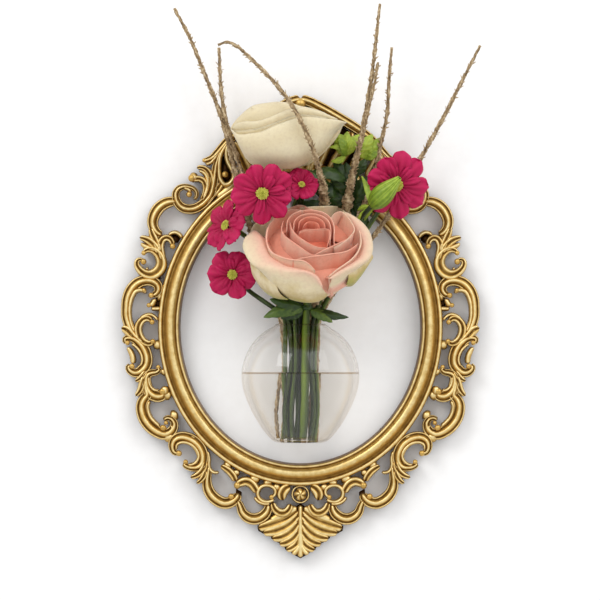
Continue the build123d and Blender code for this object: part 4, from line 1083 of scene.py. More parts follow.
def sheet(build, rows, thick, front, back):
    """A thin petal or leaf: a grid of points given a thickness, with a tone for either face."""
    height, width = len(rows), len(rows[0])
    upper, lower = [], []
    for i, row in enumerate(rows):
        above, below = rows[max(i - 1, 0)], rows[min(i + 1, height - 1)]
        offsets = []
        for j in range(width):
            across = row[min(j + 1, width - 1)] - row[max(j - 1, 0)]
            normal = across.cross(below[j] - above[j])
            normal = normal.normalized() if normal.length > 1e-12 else Vector((0, -1, 0))
            offsets.append(normal * thick / 2)
        upper.append([p + offset for p, offset in zip(row, offsets)])
        lower.append([p - offset for p, offset in zip(row, offsets)][::-1])
    top = build.grid(upper, front)
    low = build.grid(lower, [row[::-1] for row in back])
    down, across = range(height), range(width)
    border = [(i, 0) for i in down] + [(height - 1, j) for j in across[1:]]
    border += [(i, width - 1) for i in down[-2::-1]] + [(0, j) for j in across[-2::-1]]
    rim = [(top + i * width + j, low + i * width + width - 1 - j) for i, j in border]
    for (a, below_a), (b, below_b) in zip(rim, rim[1:]):
        build.faces.append((a, b, below_b, below_a))


def cell_sheet(build, size, thick, cell, more=0):
    """A sheet whose cell(v, u, i, j) gives a point and the tones of its front and back. Along it
    v runs from 0 to 1, with some more rows at 1, and across it u runs from -1 to 1."""
    steps, across = size
    cells = [
        [cell(min(i / steps, 1.0), 2 * j / (across - 1) - 1, i, j) for j in range(across)]
        for i in range(steps + 1 + more)
    ]
    rows, front, back = ([[item[k] for item in line] for line in cells] for k in range(3))
    sheet(build, rows, thick, front, back)


# Rose petals. A rim is traced on the front view and laid on the bloom's own form; below it the
# petal runs in to the bloom's base, swelling where it faces the room. A swell is the petal's
# radius and height as shares of its rim's, from base to rim, and the dome has its height at each
# radius in millimetres.
FRONT_SWELL = np.array([
    (0.30, 0.06), (0.66, 0.14), (0.92, 0.30), (1.03, 0.50), (1.04, 0.72), (1.01, 0.88), (1.0, 1.0)])
SLIM_SWELL = np.array([
    (0.22, 0.03), (0.46, 0.12), (0.66, 0.27), (0.82, 0.47), (0.94, 0.70), (0.99, 0.87), (1.0, 1.0)])
BACK_SWELL = np.array([
    (0.20, 0.04), (0.42, 0.13), (0.62, 0.30), (0.78, 0.50), (0.90, 0.70), (0.96, 0.87), (1.0, 1.0)])
DOME = [(0, 10, 20, 30, 40, 50, 58), (54.0, 53.0, 49.5, 43.5, 36.0, 27.5, 20.0)]
DOME_HEIGHT = 54.0
PINK_LEAN = (3.0, 8.0)
CREAM_SQUASH = 0.62
PETAL_THICK = 0.4 * MM
DRAPE_THICK = 0.45 * MM
HEART_THICK = 0.8 * MM
PETAL_STEPS, ROLL_STEPS = 18, 7
DRAPE_ACROSS, DRAPE_STEPS = 41, 6
SEARCH_STEPS = 60
DOME_PULL, BARREL_PULL = 0.5 / 78.0, 0.6 / 95.0
ROLL_TURN = math.radians(140)


def seen_point(inverse, px, py, deep, pull):
    """The point seen at a pixel, in a bloom's own frame, where the pull on its depth dies away."""
    for _ in range(SEARCH_STEPS):
        local = inverse @ traced((px, py, deep)) / MM
        deep += pull(local)
    return local


def dome_point(inverse, px, py, lift):
    """The point of the pink bloom's dome, or lift above it, that is seen at a pixel."""

    def pull(local):
        share = max(local.z, 0.0) / DOME_HEIGHT
        radius = math.hypot(local.x - PINK_LEAN[0] * share, local.y - PINK_LEAN[1] * share)
        return DOME_PULL * (np.interp(radius, *DOME) + lift - local.z)

    return seen_point(inverse, px, py, 0.7, pull)


def barrel_point(inverse, px, py, radius):
    """The point of an upright barrel's far side that is seen at a pixel."""

    def pull(local):
        room = max(0.0, 1 - (local.x / radius) ** 2)
        return BARREL_PULL * (local.y - radius * CREAM_SQUASH * math.sqrt(room))

    return seen_point(inverse, px, py, 0.5, pull)


def rose_petal(build, matrix, rim, lean, roll, inner, outer, seed, squash=1.0, swell=FRONT_SWELL):
    """One petal from its rim points in the bloom's frame; its edge rolls outwards."""
    rng = random.Random(seed)
    wave = [rng.uniform(-1, 1) for _ in range(3)]
    across = max(21, 3 * len(rim))
    polar = []
    for x, y, z in spline(rim, across):
        share = max(z, 0.0) / DOME_HEIGHT
        x, y = x - lean[0] * share, (y - lean[1] * share) / squash
        polar.append((math.hypot(x, y), math.atan2(y, x), z))
    angles = list(np.unwrap([angle for _, angle, _ in polar]))
    if angles[-1] < angles[0]:
        angles, polar = angles[::-1], polar[::-1]
    middle = (angles[0] + angles[-1]) / 2

    def cell(v, u, i, j):
        near = min(1.0, max(0.0, 0.45 - 0.75 * math.sin(angles[j])))
        wide, high = mix_list(BACK_SWELL, v) * (1 - near) + mix_list(swell, v) * near
        radius = polar[j][0] * wide + 2.0 * (1 - v) + 0.5 * wave[1] * v * math.sin(5 * u + 4 * wave[2])
        height = polar[j][2] * high
        if i > PETAL_STEPS:
            theta = ROLL_TURN * (i - PETAL_STEPS) / ROLL_STEPS
            size = roll * (1 - 0.75 * abs(u) ** 3)
            radius += size * (0.75 * (1 - math.cos(theta)) + 0.25 * math.sin(theta))
            height += size * (0.5 * math.sin(theta) - 0.45 * (1 - math.cos(theta)))
        turn = middle + (angles[j] - middle) * (0.72 + 0.28 * math.sin(v * math.pi / 2))
        share = max(height, 0.0) / DOME_HEIGHT
        x = lean[0] * share + radius * math.cos(turn)
        y = lean[1] * share + radius * math.sin(turn) * squash
        grain = 0.035 * math.sin(11 * u + 5 * wave[2]) + 0.02 * math.sin(23 * u + 3 * wave[0])
        tones = [mix_list(side, v ** 0.5) + grain for side in (outer, inner)]
        return matrix @ (Vector((x, y, height)) * MM), *tones

    cell_sheet(build, (PETAL_STEPS, across), PETAL_THICK, cell, ROLL_STEPS)


# Pink rose, outer petals first: the rim's traced pixels, its lift off the dome, the roll of its
# edge, and the tones from base to rim inside and outside (0 deep salmon, 1 cream); the low tones
# at the base and on the inner petals are painted shade deep in the bloom
PINK_PETALS = [
    ([(250, 243), (253, 233), (257, 226), (264, 220.5), (273, 217), (283, 214.5), (292, 211.5)], -2.0,
     1.4, (0.7, 0.86, 1.0), (0.9, 0.95, 1.0)),
    ([(300, 210.5), (309, 209.5), (319, 208.8), (330, 208.6), (340, 209.4), (345, 214), (352, 217.5)],
     -2.0, 1.2, (0.6, 0.8, 1.0), (0.9, 0.95, 1.0)),
    ([(277, 220), (283, 214.5), (290, 210), (297, 207.4), (303, 208), (309, 211.5), (317, 214),
     (326, 218)], -1.0, 0.7, (0.35, 0.52, 0.66), (0.8, 0.85, 0.9)),
    ([(303, 213.5), (293, 212.5), (283, 215.5), (275, 221), (269.6, 229), (267.6, 238), (268.6, 247),
     (272.4, 254), (279, 258), (287, 260.8), (295, 262.2), (303, 262.8), (309, 266.5), (315, 273)], 1.0,
     1.0, (0.22, 0.44, 0.62), (0.15, 0.4, 0.86)),
    ([(352, 222), (358, 232), (360, 243), (357, 252), (351, 260), (343, 267), (335, 273), (328, 279)],
     0.4, 0.8, (0.24, 0.5, 0.8), (0.15, 0.35, 0.76)),
    ([(293, 263.5), (301, 261), (311, 259), (320, 257.6), (331, 256), (341, 255), (349, 252),
     (356.6, 246)], 0.4, 0.7, (0.1, 0.26, 0.56), (0.3, 0.4, 0.52)),
    ([(330, 222), (334, 216), (341, 214.4), (347, 220), (353.6, 231.6), (350, 238), (344, 243.6),
     (338, 247.4), (333, 250)], 0.4, 0.6, (0.14, 0.5, 0.8), (0.3, 0.5, 0.7)),
    ([(313, 258.5), (320, 254), (326, 250.8), (334, 247.8), (342, 244), (349, 240), (353, 235)], 0.0, 0.6,
     (0.12, 0.34, 0.56), (0.26, 0.48, 0.66)),
    ([(283, 224), (282, 231), (285.6, 238), (292, 244), (299, 249.5), (306, 254), (312, 257),
     (318, 257.6)], 0.4, 0.6, (0.04, 0.26, 0.52), (0.2, 0.5, 0.66)),
    ([(287, 233), (288, 223), (294, 216.4), (304, 213.4), (315, 213.4), (325, 216.6), (331, 222.4),
     (333.4, 231), (333, 240), (333.6, 249)], 0.4, 0.5, (0.05, 0.32, 0.6), (0.3, 0.45, 0.62)),
    ([(290, 225), (292.4, 232), (297.6, 238.4), (304, 243.4), (311, 247.4), (318, 250), (325.6, 250.6)],
     0.4, 0.5, (0.02, 0.22, 0.5), (0.12, 0.46, 0.64)),
    ([(294, 233), (295, 223.6), (301, 218.4), (310, 216.6), (319, 218), (326.4, 222.4), (329.6, 229),
     (330, 238), (329, 247)], 0.6, 0.4, (0.02, 0.28, 0.56), (0.3, 0.45, 0.6)),
    ([(299, 235), (305, 232.4), (313, 232.4), (321, 231.8), (328, 232.4), (329, 240), (326.6, 249)], 0.2,
     0.4, (0.02, 0.2, 0.48), (0.2, 0.36, 0.5)),
    ([(298.6, 231), (299.6, 224.6), (304.6, 221), (312, 220), (319.6, 222), (324, 226.6), (324.6, 232)],
     0.6, 0.3, (0.0, 0.16, 0.42), (0.2, 0.34, 0.5)),
    ([(303, 229.6), (306.6, 225.6), (312, 225), (317.4, 226.6), (319, 230.6)], 0.4, 0.3, (0.0, 0.1, 0.36),
     (0.1, 0.26, 0.44)),
]

# Outer petals drawn over traced curves: from the inner edge of the rolled lip, over the lip, down
# the outside. Each curve has its points, how far it lies behind the first one (mm) and its tone,
# which is lower on the curves in shade below the lip, painted shade; past 1 it is tan and green,
# partly the outer petals' own colour and partly painted shade.
PINK_DRAPED = [
    [
        ([(257, 233), (262, 240), (266, 250), (270, 258), (278, 264), (286, 268.5), (295, 270.5),
         (304, 272.5), (312, 275), (318, 279.5), (322, 288)], 0.0, 0.62),
        ([(254.5, 232.6), (252, 240), (253.5, 249), (258, 258), (267, 265), (278, 269.5), (289, 273),
         (300, 273.5), (310, 275.6), (317, 280.6), (322, 289)], -2.0, 0.88),
        ([(252, 233.5), (245.5, 240), (243.8, 248), (247, 257.5), (252.6, 265.6), (262, 270),
         (273, 273.6), (286, 277), (296, 277), (304, 276.4), (312, 279), (318, 284), (321.6, 290)], -0.5,
         1.0),
        ([(254, 240), (248, 249), (252, 262), (261, 272), (270, 279), (280, 284), (292, 285.6),
         (303, 285.4), (312, 285.6), (319, 288), (322.6, 291.6)], 3.5, 1.03),
        ([(258, 250), (254, 260), (261, 272), (269, 281), (277, 289), (286, 294), (296, 295.6),
         (306, 295.6), (314, 294.8), (320, 294), (324.6, 294)], 8.0, 1.09),
        ([(264, 258), (263, 268), (270, 279), (277, 290), (284, 297), (293, 301.4), (303, 303.6),
         (313, 303.8), (320, 302), (325, 299), (327.6, 296)], 17.0, 1.17),
    ],
    [
        ([(343, 215.5), (350, 222), (356, 230), (361, 239), (363, 249), (360, 258), (353, 264.5),
         (344, 270), (336, 275), (328, 281)], 0.0, 0.7),
        ([(345, 215), (353, 220.6), (360, 228.6), (365.6, 237), (367.6, 247), (365, 257), (357.6, 264),
         (347.6, 270), (338.6, 275), (329.4, 281)], -1.6, 0.92),
        ([(346, 214.5), (354, 219), (362, 225.5), (368, 233.5), (371, 243), (371.3, 252), (368, 260.5),
         (360, 266.5), (350, 271.5), (341, 276), (330.6, 281.6)], 0.0, 1.0),
        ([(349, 218), (358, 226), (365, 235), (369, 245), (369, 255), (364, 264), (356, 271),
         (348, 276.6), (340, 281.6), (329, 287)], 5.0, 0.62),
        ([(352, 222), (358, 230), (362, 240), (364, 252), (361, 264), (355, 274), (348.6, 283),
         (341, 290), (334, 295), (326, 298)], 16.0, 0.9),
    ],
    [
        ([(250, 258), (254, 266), (260, 271), (268, 276), (277, 286)], 7.0, 1.08),
        ([(251.6, 268), (256, 275), (263, 281), (270, 285.6), (278, 291)], 8.0, 1.02),
        ([(253, 275), (258, 283), (265, 289), (272, 293), (281, 296)], 11.0, 1.1),
        ([(256, 281), (262, 289.6), (269, 296), (277, 299.6), (288, 301)], 18.0, 1.24),
    ],
    [
        ([(347, 275), (356, 270), (364, 264), (371, 256)], 3.5, 1.02),
        ([(347.4, 280), (356.6, 276), (365, 268), (371.8, 259)], 4.5, 1.18),
        ([(346, 285), (353, 284), (361, 276), (369, 264)], 8.0, 1.24),
        ([(344, 288), (351, 287.4), (358, 280), (365, 268)], 16.0, 1.16),
    ],
]


def draped_petal(build, curves, crest_depth, base, seed):
    """A petal over traced curves: in from the bloom's base to its crest, then down its outside."""
    rng = random.Random(seed)
    wave = [rng.uniform(0, 6) for _ in range(2)]
    across, down = DRAPE_ACROSS, DRAPE_STEPS * (len(curves) - 1) + 1
    lines = [spline(points, across) for points, _, _ in curves]
    columns = []
    for j in range(across):
        u = 2 * j / (across - 1) - 1
        crest = crest_depth(*lines[0][j])
        marks = [
            (at_x(line[j][0]) / MM, crest + behind * (1 - 0.25 * u * u), at_z(line[j][1]) / MM)
            for line, (_, behind, _) in zip(lines, curves)
        ]
        outside = [Vector(p) * MM for p in spline(marks, down)]
        inside = [
            base.lerp(outside[0], share) + Vector((0, 2.5 * MM, 0)) * math.sin(math.pi * share)
            for share in (0.0, 0.3, 0.6, 0.85)
        ]
        under = [outside[-1].lerp(base, share) for share in (0.35, 0.7, 0.97)]
        columns.append(inside + outside + under)
    tones = [tone for _, _, tone in curves]
    # Inside, the tone falls towards the bloom's base: painted shade.
    steps = [tones[0] - fall for fall in (0.45, 0.35, 0.2, 0.08)]
    steps += [mix_list(tones, k / (down - 1)) for k in range(down)]
    steps += [tones[-1]] * 3
    ripple = [
        0.02 * math.sin(0.35 * j + wave[0]) + 0.01 * math.sin(0.8 * j + wave[1]) for j in range(across)
    ]
    shade = [[tone + change for change in ripple] for tone in steps]
    sheet(build, list(zip(*columns)), DRAPE_THICK, shade, shade)


def make_pink_rose():
    matrix = seat_matrix("pink_rose")
    inverse = matrix.inverted()
    build = Build("tone")
    for seed, (rim, lift, roll, inner, outer) in enumerate(PINK_PETALS):
        points = [dome_point(inverse, px, py, lift) for px, py in rim]
        rose_petal(build, matrix, points, PINK_LEAN, 0.7 * roll, inner, outer, seed)

    def crest_depth(px, py):
        return (matrix @ (dome_point(inverse, px, py, 0.0) * MM)).y / MM

    place = placer("pink_rose")
    for seed, curves in enumerate(PINK_DRAPED):
        draped_petal(build, curves, crest_depth, place(0, 0, 1.5), seed)

    # The heart between the petals
    # Its tone is low at its middle and rises outwards: painted shade deep in the bloom.
    rows, tones = [], []
    for radius in (1.0, 6.0, 12.0, 18.0, 24.0, 30.0, 36.0, 41.0):
        height = np.interp(radius, *DOME) - 13.0
        x, y = (lean * height / DOME_HEIGHT for lean in PINK_LEAN)
        rows.append([place(x + radius * cos, y + radius * sin, height) for cos, sin in circle(48)])
        tones.append([0.10 + 0.013 * radius] * 48)
    sheet(build, rows, HEART_THICK, tones, tones)
    build.piece("pink_rose_petals", "bouquet", "pink_petals", PINK, "pink_rose_bloom")


# Cream rose, seen from its side. A far petal has its rim, its barrel's radius and its edge's
# roll; the near petals are drawn over traced curves. Their lower tones, towards the base and on
# the lowest curves, are painted shade.
CREAM_BACK = [
    ([(232, 131), (238, 122), (246, 114), (254, 108.6), (264, 106), (276, 104), (290, 105), (300, 108),
      (312, 110.6), (324, 115), (333, 120.5), (343, 124)], 46.0, 0.6),
    ([(252, 112), (264, 108.6), (278, 107), (292, 108), (306, 112), (318, 116)], 24.0, 0.4),
]
CREAM_DRAPED = [
    [
        ([(231.4, 131.6), (236, 136.6), (242, 138.4), (250, 137.6), (262, 135.8), (275, 130),
         (288, 125.4), (298, 122.4), (310, 121.4), (325, 122.8), (337, 124), (346, 125.5)], 0.0, 0.96),
        ([(232.6, 133.6), (237.6, 139), (243, 141), (251, 140.4), (263, 138.6), (276, 133), (289, 128.4),
         (299, 125.4), (310, 124), (324, 124.8), (335, 125.6), (345, 126.4)], -1.5, 0.84),
        ([(235.6, 140), (241, 147), (250, 149), (262, 148.6), (275, 146.4), (288, 144.4), (300, 142),
         (311, 139.6), (321, 136.6), (331, 131.6), (342, 127.4)], -2.0, 0.94),
        ([(240.6, 150), (246.6, 157), (256, 160), (267, 161), (278, 160.6), (290, 159.6), (301, 157.6),
         (311, 153.6), (319.6, 147), (327.6, 138.6), (339, 129.4)], 1.0, 0.9),
        ([(246, 160), (252, 166.6), (261, 170), (271, 171.6), (281, 172), (290, 171.4), (299, 169),
         (308, 164.4), (317, 158), (325.6, 149.5), (336, 133)], 12.0, 0.62),
    ],
    [
        ([(235, 134), (243, 134.4), (252, 133.4), (262, 131.4), (275, 127), (287, 122), (299, 119.4),
         (313, 119.6), (328, 122)], 3.0, 0.92),
        ([(237, 138), (245, 138), (254, 137), (264, 134), (277, 129.6), (289, 125), (300, 122.6),
         (313, 122.4), (328, 124)], 4.5, 0.7),
        ([(242, 150), (250, 152), (260, 152), (272, 150), (284, 147), (296, 143), (308, 139), (320, 135),
         (330, 130)], 9.0, 0.7),
    ],
    [
        ([(231.2, 131), (238, 127), (246, 125.2), (256, 125.4), (270, 121.6), (281, 116.8), (291, 113.4),
         (302, 112.4), (314, 114), (326, 118), (337, 122.6)], 4.0, 0.96),
        ([(232.4, 133), (239, 129.6), (247, 128.2), (257, 128.4), (271, 124.6), (282, 119.8),
         (292, 116.4), (303, 115), (315, 116.6), (326, 120), (336, 123.6)], 3.0, 0.76),
        ([(236, 140), (243, 138), (252, 138), (262, 137), (276, 133), (288, 128.6), (298, 126),
         (310, 125), (322, 125), (334, 126)], 6.0, 0.88),
    ],
    [
        ([(231.4, 130.6), (238, 122), (246, 114), (254, 109), (264, 107), (276, 106), (290, 107.4),
         (301, 110.6), (313, 113)], 14.0, 0.94),
        ([(233, 131.6), (240, 125), (248, 119), (257, 116), (268, 113.6), (280, 112), (292, 112.6),
         (303, 114.6), (314, 116.6)], 8.0, 0.84),
        ([(236, 134), (243, 130), (251, 128), (260, 127.6), (272, 124.6), (284, 120), (295, 117.6),
         (306, 117.6), (316, 119)], 7.0, 0.9),
    ],
]
CREAM_MIDDLE_PX, CREAM_HALF_PX = 288.0, 58.5
CREAM_EDGE_DEPTH, CREAM_SWELL_DEPTH = -46.0, -26.0


def make_cream_rose():
    matrix = seat_matrix("cream_rose")
    inverse = matrix.inverted()
    build = Build("tone")
    for seed, (rim, radius, roll) in enumerate(CREAM_BACK):
        points = [barrel_point(inverse, px, py, radius) for px, py in rim]
        rose_petal(build, matrix, points, (0.0, 0.0), roll, (0.60, 0.75, 0.90), (0.55, 0.80, 0.92),
                   50 + seed, CREAM_SQUASH, SLIM_SWELL)

    def crest_depth(px, py):
        room = 1 - ((px - CREAM_MIDDLE_PX) / CREAM_HALF_PX) ** 2
        return CREAM_EDGE_DEPTH + CREAM_SWELL_DEPTH * math.sqrt(max(0.0, room))

    for seed, curves in enumerate(CREAM_DRAPED):
        draped_petal(build, curves, crest_depth, placer("cream_rose")(0, 0, 1.5), 60 + seed)
    build.piece("cream_rose_petals", "bouquet", "cream_petals", CREAM, "cream_rose_bloom")


make_pink_rose()
make_cream_rose()

# Daisies: radius, number of petals, how steeply they rise, and the first one's angle
DAISIES = {
    "daisy_front": (25.5, 9, 0.14, 8), "daisy_left": (22.5, 8, 0.24, 20),
    "daisy_low": (20.5, 7, 0.20, 5), "daisy_mid": (14.5, 6, 0.34, 0), "daisy_right": (27.0, 9, 0.20, 12),
}
DAISY_SECOND_RING = 0.72
DAISY_CELLS = (14, 15)
DAISY_THICK = 0.6 * MM
DISC_SHARE = 0.19
DISC_BEADS = 70
BEAD_RINGS, BEAD_SEGMENTS = 4, 6
CALYX_PROFILE = [(0.06, -1.5), (0.12, -0.8), (0.20, 0.3), (0.25, 2.0), (0.10, 2.4)]
GOLDEN_ANGLE = 2.39996


def daisy_petal(build, place, radius, angle, width, rise, droop, rng):
    """A broad petal with two grooves and a rounded end."""
    bend = rng.uniform(-8, 8)
    shade = rng.uniform(-0.16, 0.14)
    raised = rng.uniform(-1.5, 2.5)
    frill, turn = rng.uniform(0.4, 1.3), rng.uniform(0, 6)
    twist = rng.uniform(-0.42, 0.42)
    size = radius * rng.uniform(0.92, 1.03)
    cos, sin = math.cos(math.radians(angle)), math.sin(math.radians(angle))

    def cell(v, u, i, j):
        half = width * (0.30 + 0.70 * math.sin(min(1.0, v * 1.35) * math.pi / 2))
        half *= math.sqrt(max(0.0, 1 - max(0.0, (v - 0.70) / 0.305) ** 2))
        ridges = math.cos(u * math.pi * 2.5)
        x = size * (0.10 + 0.90 * v) - 0.5 * abs(u) * (v > 0.9)
        y = half * u + 0.2 * bend * v * v
        z = 2.5 + rise * size * math.sin(v * math.pi * 0.7) - droop * v * v - 2.4 * u * u * half / width
        z += 0.85 * ridges * math.sin(math.pi * min(v, 0.90)) + frill * v * v * math.sin(4.2 * u + turn)
        z += raised * v + twist * y * v
        # Darker towards the petal's base, its edges and its grooves, lighter on its ridges: painted shade
        # and painted highlight.
        tone = 0.02 + 0.78 * v ** 0.9 + shade - 0.16 * abs(u) + 0.26 * ridges * (0.4 + 0.6 * v)
        tone += rng.uniform(-0.03, 0.03)
        return place(x * cos - y * sin, x * sin + y * cos, z), tone, 0.42 + 0.25 * v

    cell_sheet(build, DAISY_CELLS, DAISY_THICK, cell)


def make_daisy(name):
    """A daisy of two rings of petals, its disc of small beads, and its calyx."""
    radius, petals, rise, first = DAISIES[name]
    place = placer(name)
    rng = random.Random(name)
    build = Build("tone")
    for ring, size in ((0, radius), (1, radius * DAISY_SECOND_RING)):
        count = petals - 2 * ring
        width = size * (0.235 - 0.05 * ring) * 11 / petals
        for k in range(count):
            angle = first + (k + 0.5 * ring) * 360 / count + rng.uniform(-7, 7)
            droop = radius * rng.uniform(0.02, 0.20)
            daisy_petal(build, place, size, angle, width, rise + 0.16 * ring, droop, rng)
    build.piece(name + "_petals", "bouquet", "magenta_petals", MAGENTA, name + "_bloom")

    centre = Build("tone")
    dome = radius * DISC_SHARE
    size = dome * 0.15 * MM
    for k in range(DISC_BEADS):
        share = math.sqrt((k + 0.5) / DISC_BEADS)
        turn = k * GOLDEN_ANGLE
        height = 4.0 + dome * 0.62 * math.sqrt(1 - share * share * 0.8)
        bead = place(dome * share * math.cos(turn), dome * share * math.sin(turn), height)
        tone = 0.35 + 0.4 * share + rng.uniform(-0.15, 0.15)
        centre.ball(bead, (size, size, size), tone, BEAD_RINGS, BEAD_SEGMENTS)
    centre.piece(name + "_centre", "bouquet", "light_leaves", DISC)

    calyx = Build("tone")
    profile = [(out * radius, height) for out, height in CALYX_PROFILE]
    calyx.grid(round_rows(profile, 20, place), 0.4, closed_u=True)
    calyx.piece(name + "_calyx", "bouquet", "green_stems", STEM)


for daisy in DAISIES:
    make_daisy(daisy)

# Stems
STEM_SIDES = 12
STEM_RADII = {"pink_rose": 3.0, "cream_rose": 3.0, "bud": 1.8, **{daisy: 1.8 for daisy in DAISIES}}


def make_stem(name, radius):
    """A stem that thickens a little under its bloom."""
    place, facing = SEATS[name]
    facing = Vector(facing).normalized()
    points = stalk_points(name, radius) + [traced(place) - facing * back * MM for back in (8.0, 0.3)]
    rng = random.Random(name + "stem")
    phase = [rng.uniform(0, 6) for _ in range(3)]
    shade = rng.uniform(0.15, 0.62)

    def wobble(i, j):
        turn = 3 * math.tau * j / STEM_SIDES
        return 1 + 0.04 * math.sin(i * 0.31 + phase[0]) + 0.05 * math.sin(turn + phase[1])

    build = Build("tone")
    tube(build, rounded_path(points), STEM_SIDES, lambda along: radius * (1.0 + max(0.0, along - 0.9)),
         lambda along, j: shade + 0.2 * math.sin(j + phase[2]), wobble)
    build.piece(name + "_stalk", "bouquet", "green_stems", STEM, name + "_stem")


for name, radius in STEM_RADII.items():
    make_stem(name, radius * MM)

# Leaves. A shape is a leaf's fold, its curl and how many teeth it has.
FRONT = (0.0, -1.0, 0.15)
UP = (0.1, -0.8, 0.6)
OUT = (0.0, -1, 0.3)
ROSE_SHAPE = (0.25, 0.14, 5)
SPRIG_SHAPE = (0.20, 0.16, 6)
SEPAL_SHAPE = (0.2, 0.1, 3)
SPRIG_RADIUS = 1.2 * MM
LEAF_CELLS, SEPAL_CELLS = (26, 11), (18, 11)
LEAF_THICK, SEPAL_THICK = 0.5 * MM, 0.6 * MM
COLLAR = [(3.2, -2.0), (4.2, -1.0), (4.4, 0.8), (3.4, 2.0)]


def blade(build, base, tip, width, shape, facing, tone, seed, bend):
    """A leaf from base to tip with a folded midrib, side veins and a toothed edge."""
    fold, curl, teeth = shape
    rng = random.Random(seed)
    length = (tip - base).length
    way = (tip - base).normalized()
    face = Vector(facing)
    face = (face - way * face.dot(way)).normalized()
    side = way.cross(face)

    def cell(v, u, i, j):
        half = width * SCALE / 2 * math.sin(math.pi * v ** 0.80) ** 0.85 + 0.15 * MM
        half *= 1 + 0.10 * abs(math.sin(math.pi * teeth * v))
        rib = math.sin((v * 9 - abs(u) * 2.4) * math.pi)
        arch = length * math.sin(math.pi * v)
        lift = curl * arch + (0.05 * rib - 2 * fold * abs(u)) * half
        vein = 0.22 * (abs(u) < 0.12) + 0.07 * rib
        place = base + way * (length * v) + side * (half * u + bend * arch) + face * lift
        return place, tone + 0.15 + 0.5 * vein, tone + vein + 0.04 * rng.uniform(-1, 1)

    cell_sheet(build, LEAF_CELLS, LEAF_THICK, cell)


def make_rose_leaves():
    build = Build("tone")
    slot, above = stalk_points("pink_rose", STEM_RADII["pink_rose"] * MM)[3:5]
    middle = (slot + above) * 0.5
    for index, (tip, width, tone, bend) in enumerate([
        ((264, 318, 0.42), 13, 0.42, 0.05), ((270, 300, 0.42), 12, 0.18, -0.05),
        ((332, 323, 0.43), 11, 0.45, -0.05), ((348, 318, 0.40), 9, 0.05, 0.08),
        ((281, 319, 0.34), 12, 0.10, 0.0), ((322, 316, 0.35), 10, 0.05, 0.0),
    ]):
        base = middle + (traced(tip) - middle).normalized() * 3.4 * MM
        blade(build, base, traced(tip), width, ROSE_SHAPE, OUT, tone, index, bend)
    collar = round_rows(COLLAR, 24, lambda x, y, z: middle + Vector((x, y, z)) * MM)
    build.grid(collar, 0.3, closed_u=True)
    build.piece("rose_leaf_blades", "bouquet", "dark_leaves", LEAF_DARK, "rose_leaves")


def make_sprig(name, leaves, slot, material):
    build = Build("tone")
    path = rounded_path(stalk_points(name, SPRIG_RADIUS))
    tube(build, path, 10, lambda along: SPRIG_RADIUS * (1 - 0.2 * along))
    for index, (base, tip, width, tone, bend, facing) in enumerate(leaves):
        blade(build, traced(base), traced(tip), width, SPRIG_SHAPE, facing, tone, 40 + index, bend)
    build.piece(name + "_leaves", "bouquet", slot, material, name)


# A sprig's leaf has its base, its tip, its width in pixels, its tone, its bend and its facing
LIGHT_LEAVES = [
    ((346, 158, 0.26), (334, 134, 0.24), 15, 0.55, 0.08, FRONT),
    ((345, 157, 0.26), (347, 133, 0.24), 12, 0.62, 0.0, UP),
    ((346, 156, 0.25), (359, 136, 0.25), 11, 0.66, -0.05, FRONT),
    ((347, 157, 0.27), (338, 141, 0.32), 12, 0.35, 0.1, UP),
    ((346, 153, 0.27), (329, 149, 0.29), 5, 0.66, 0.12, FRONT),
    ((345, 158, 0.27), (331, 163, 0.29), 6, 0.6, -0.12, FRONT),
    ((347, 156, 0.26), (352, 142, 0.31), 8, 0.7, 0.0, UP),
    ((361, 160, 0.27), (372, 136, 0.28), 14, 0.62, -0.06, FRONT),
    ((363, 158, 0.27), (381, 139, 0.26), 13, 0.5, 0.08, FRONT),
    ((364, 160, 0.27), (379, 150, 0.28), 11, 0.4, 0.05, UP),
]
DARK_LEAVES = [
    ((352, 196, 0.25), (329, 176, 0.27), 17, 0.1, 0.06, FRONT),
    ((352, 200, 0.25), (326, 200, 0.26), 15, 0.06, -0.05, FRONT),
    ((354, 205, 0.25), (372, 176, 0.27), 17, 0.1, -0.05, FRONT),
    ((350, 190, 0.25), (334, 162, 0.25), 15, 0.05, 0.0, FRONT),
    ((352, 206, 0.25), (372, 215, 0.26), 13, 0.06, 0.0, FRONT),
    ((350, 182, 0.27), (306, 176, 0.34), 15, 0.22, 0.05, UP),
    ((352, 210, 0.25), (352, 232, 0.26), 12, 0.05, 0.0, FRONT),
    ((360, 190, 0.27), (385, 192, 0.28), 12, 0.12, 0.0, FRONT),
    ((330, 186, 0.3), (292, 172, 0.34), 9, 0.3, 0.0, UP),
    ((356, 176, 0.27), (366, 160, 0.27), 10, 0.15, 0.0, FRONT),
    ((350, 215, 0.25), (330, 222, 0.26), 12, 0.05, 0.0, FRONT),
    ((340, 204, 0.25), (312, 186, 0.26), 19, 0.08, 0.05, FRONT),
    ((338, 208, 0.25), (316, 212, 0.26), 16, 0.05, 0.0, FRONT),
    ((346, 196, 0.26), (346, 164, 0.26), 18, 0.04, 0.04, FRONT),
    ((356, 200, 0.26), (380, 172, 0.265), 16, 0.12, 0.06, FRONT),
    ((336, 214, 0.25), (292, 207, 0.26), 17, 0.05, 0.0, FRONT),
    ((318, 190, 0.3), (290, 184, 0.33), 14, 0.14, 0.04, UP),
    ((354, 214, 0.25), (368, 228, 0.255), 14, 0.06, 0.0, FRONT),
]
BUD_CUP = [(0.5, -1.0), (3.2, -0.2), (4.6, 1.6), (4.2, 3.4)]
# A narrow leaf of the bud has its base, its tip and its width in pixels
BUD_LEAVES = [
    ((371, 208, 0.49), (355, 226, 0.38), 4), ((369, 206, 0.50), (361, 178, 0.42), 5),
    ((372, 210, 0.49), (364, 222, 0.36), 4), ((368, 208, 0.49), (357, 212, 0.40), 4),
    ((370, 205, 0.50), (366, 186, 0.45), 4), ((372, 207, 0.50), (381, 186, 0.52), 5),
]


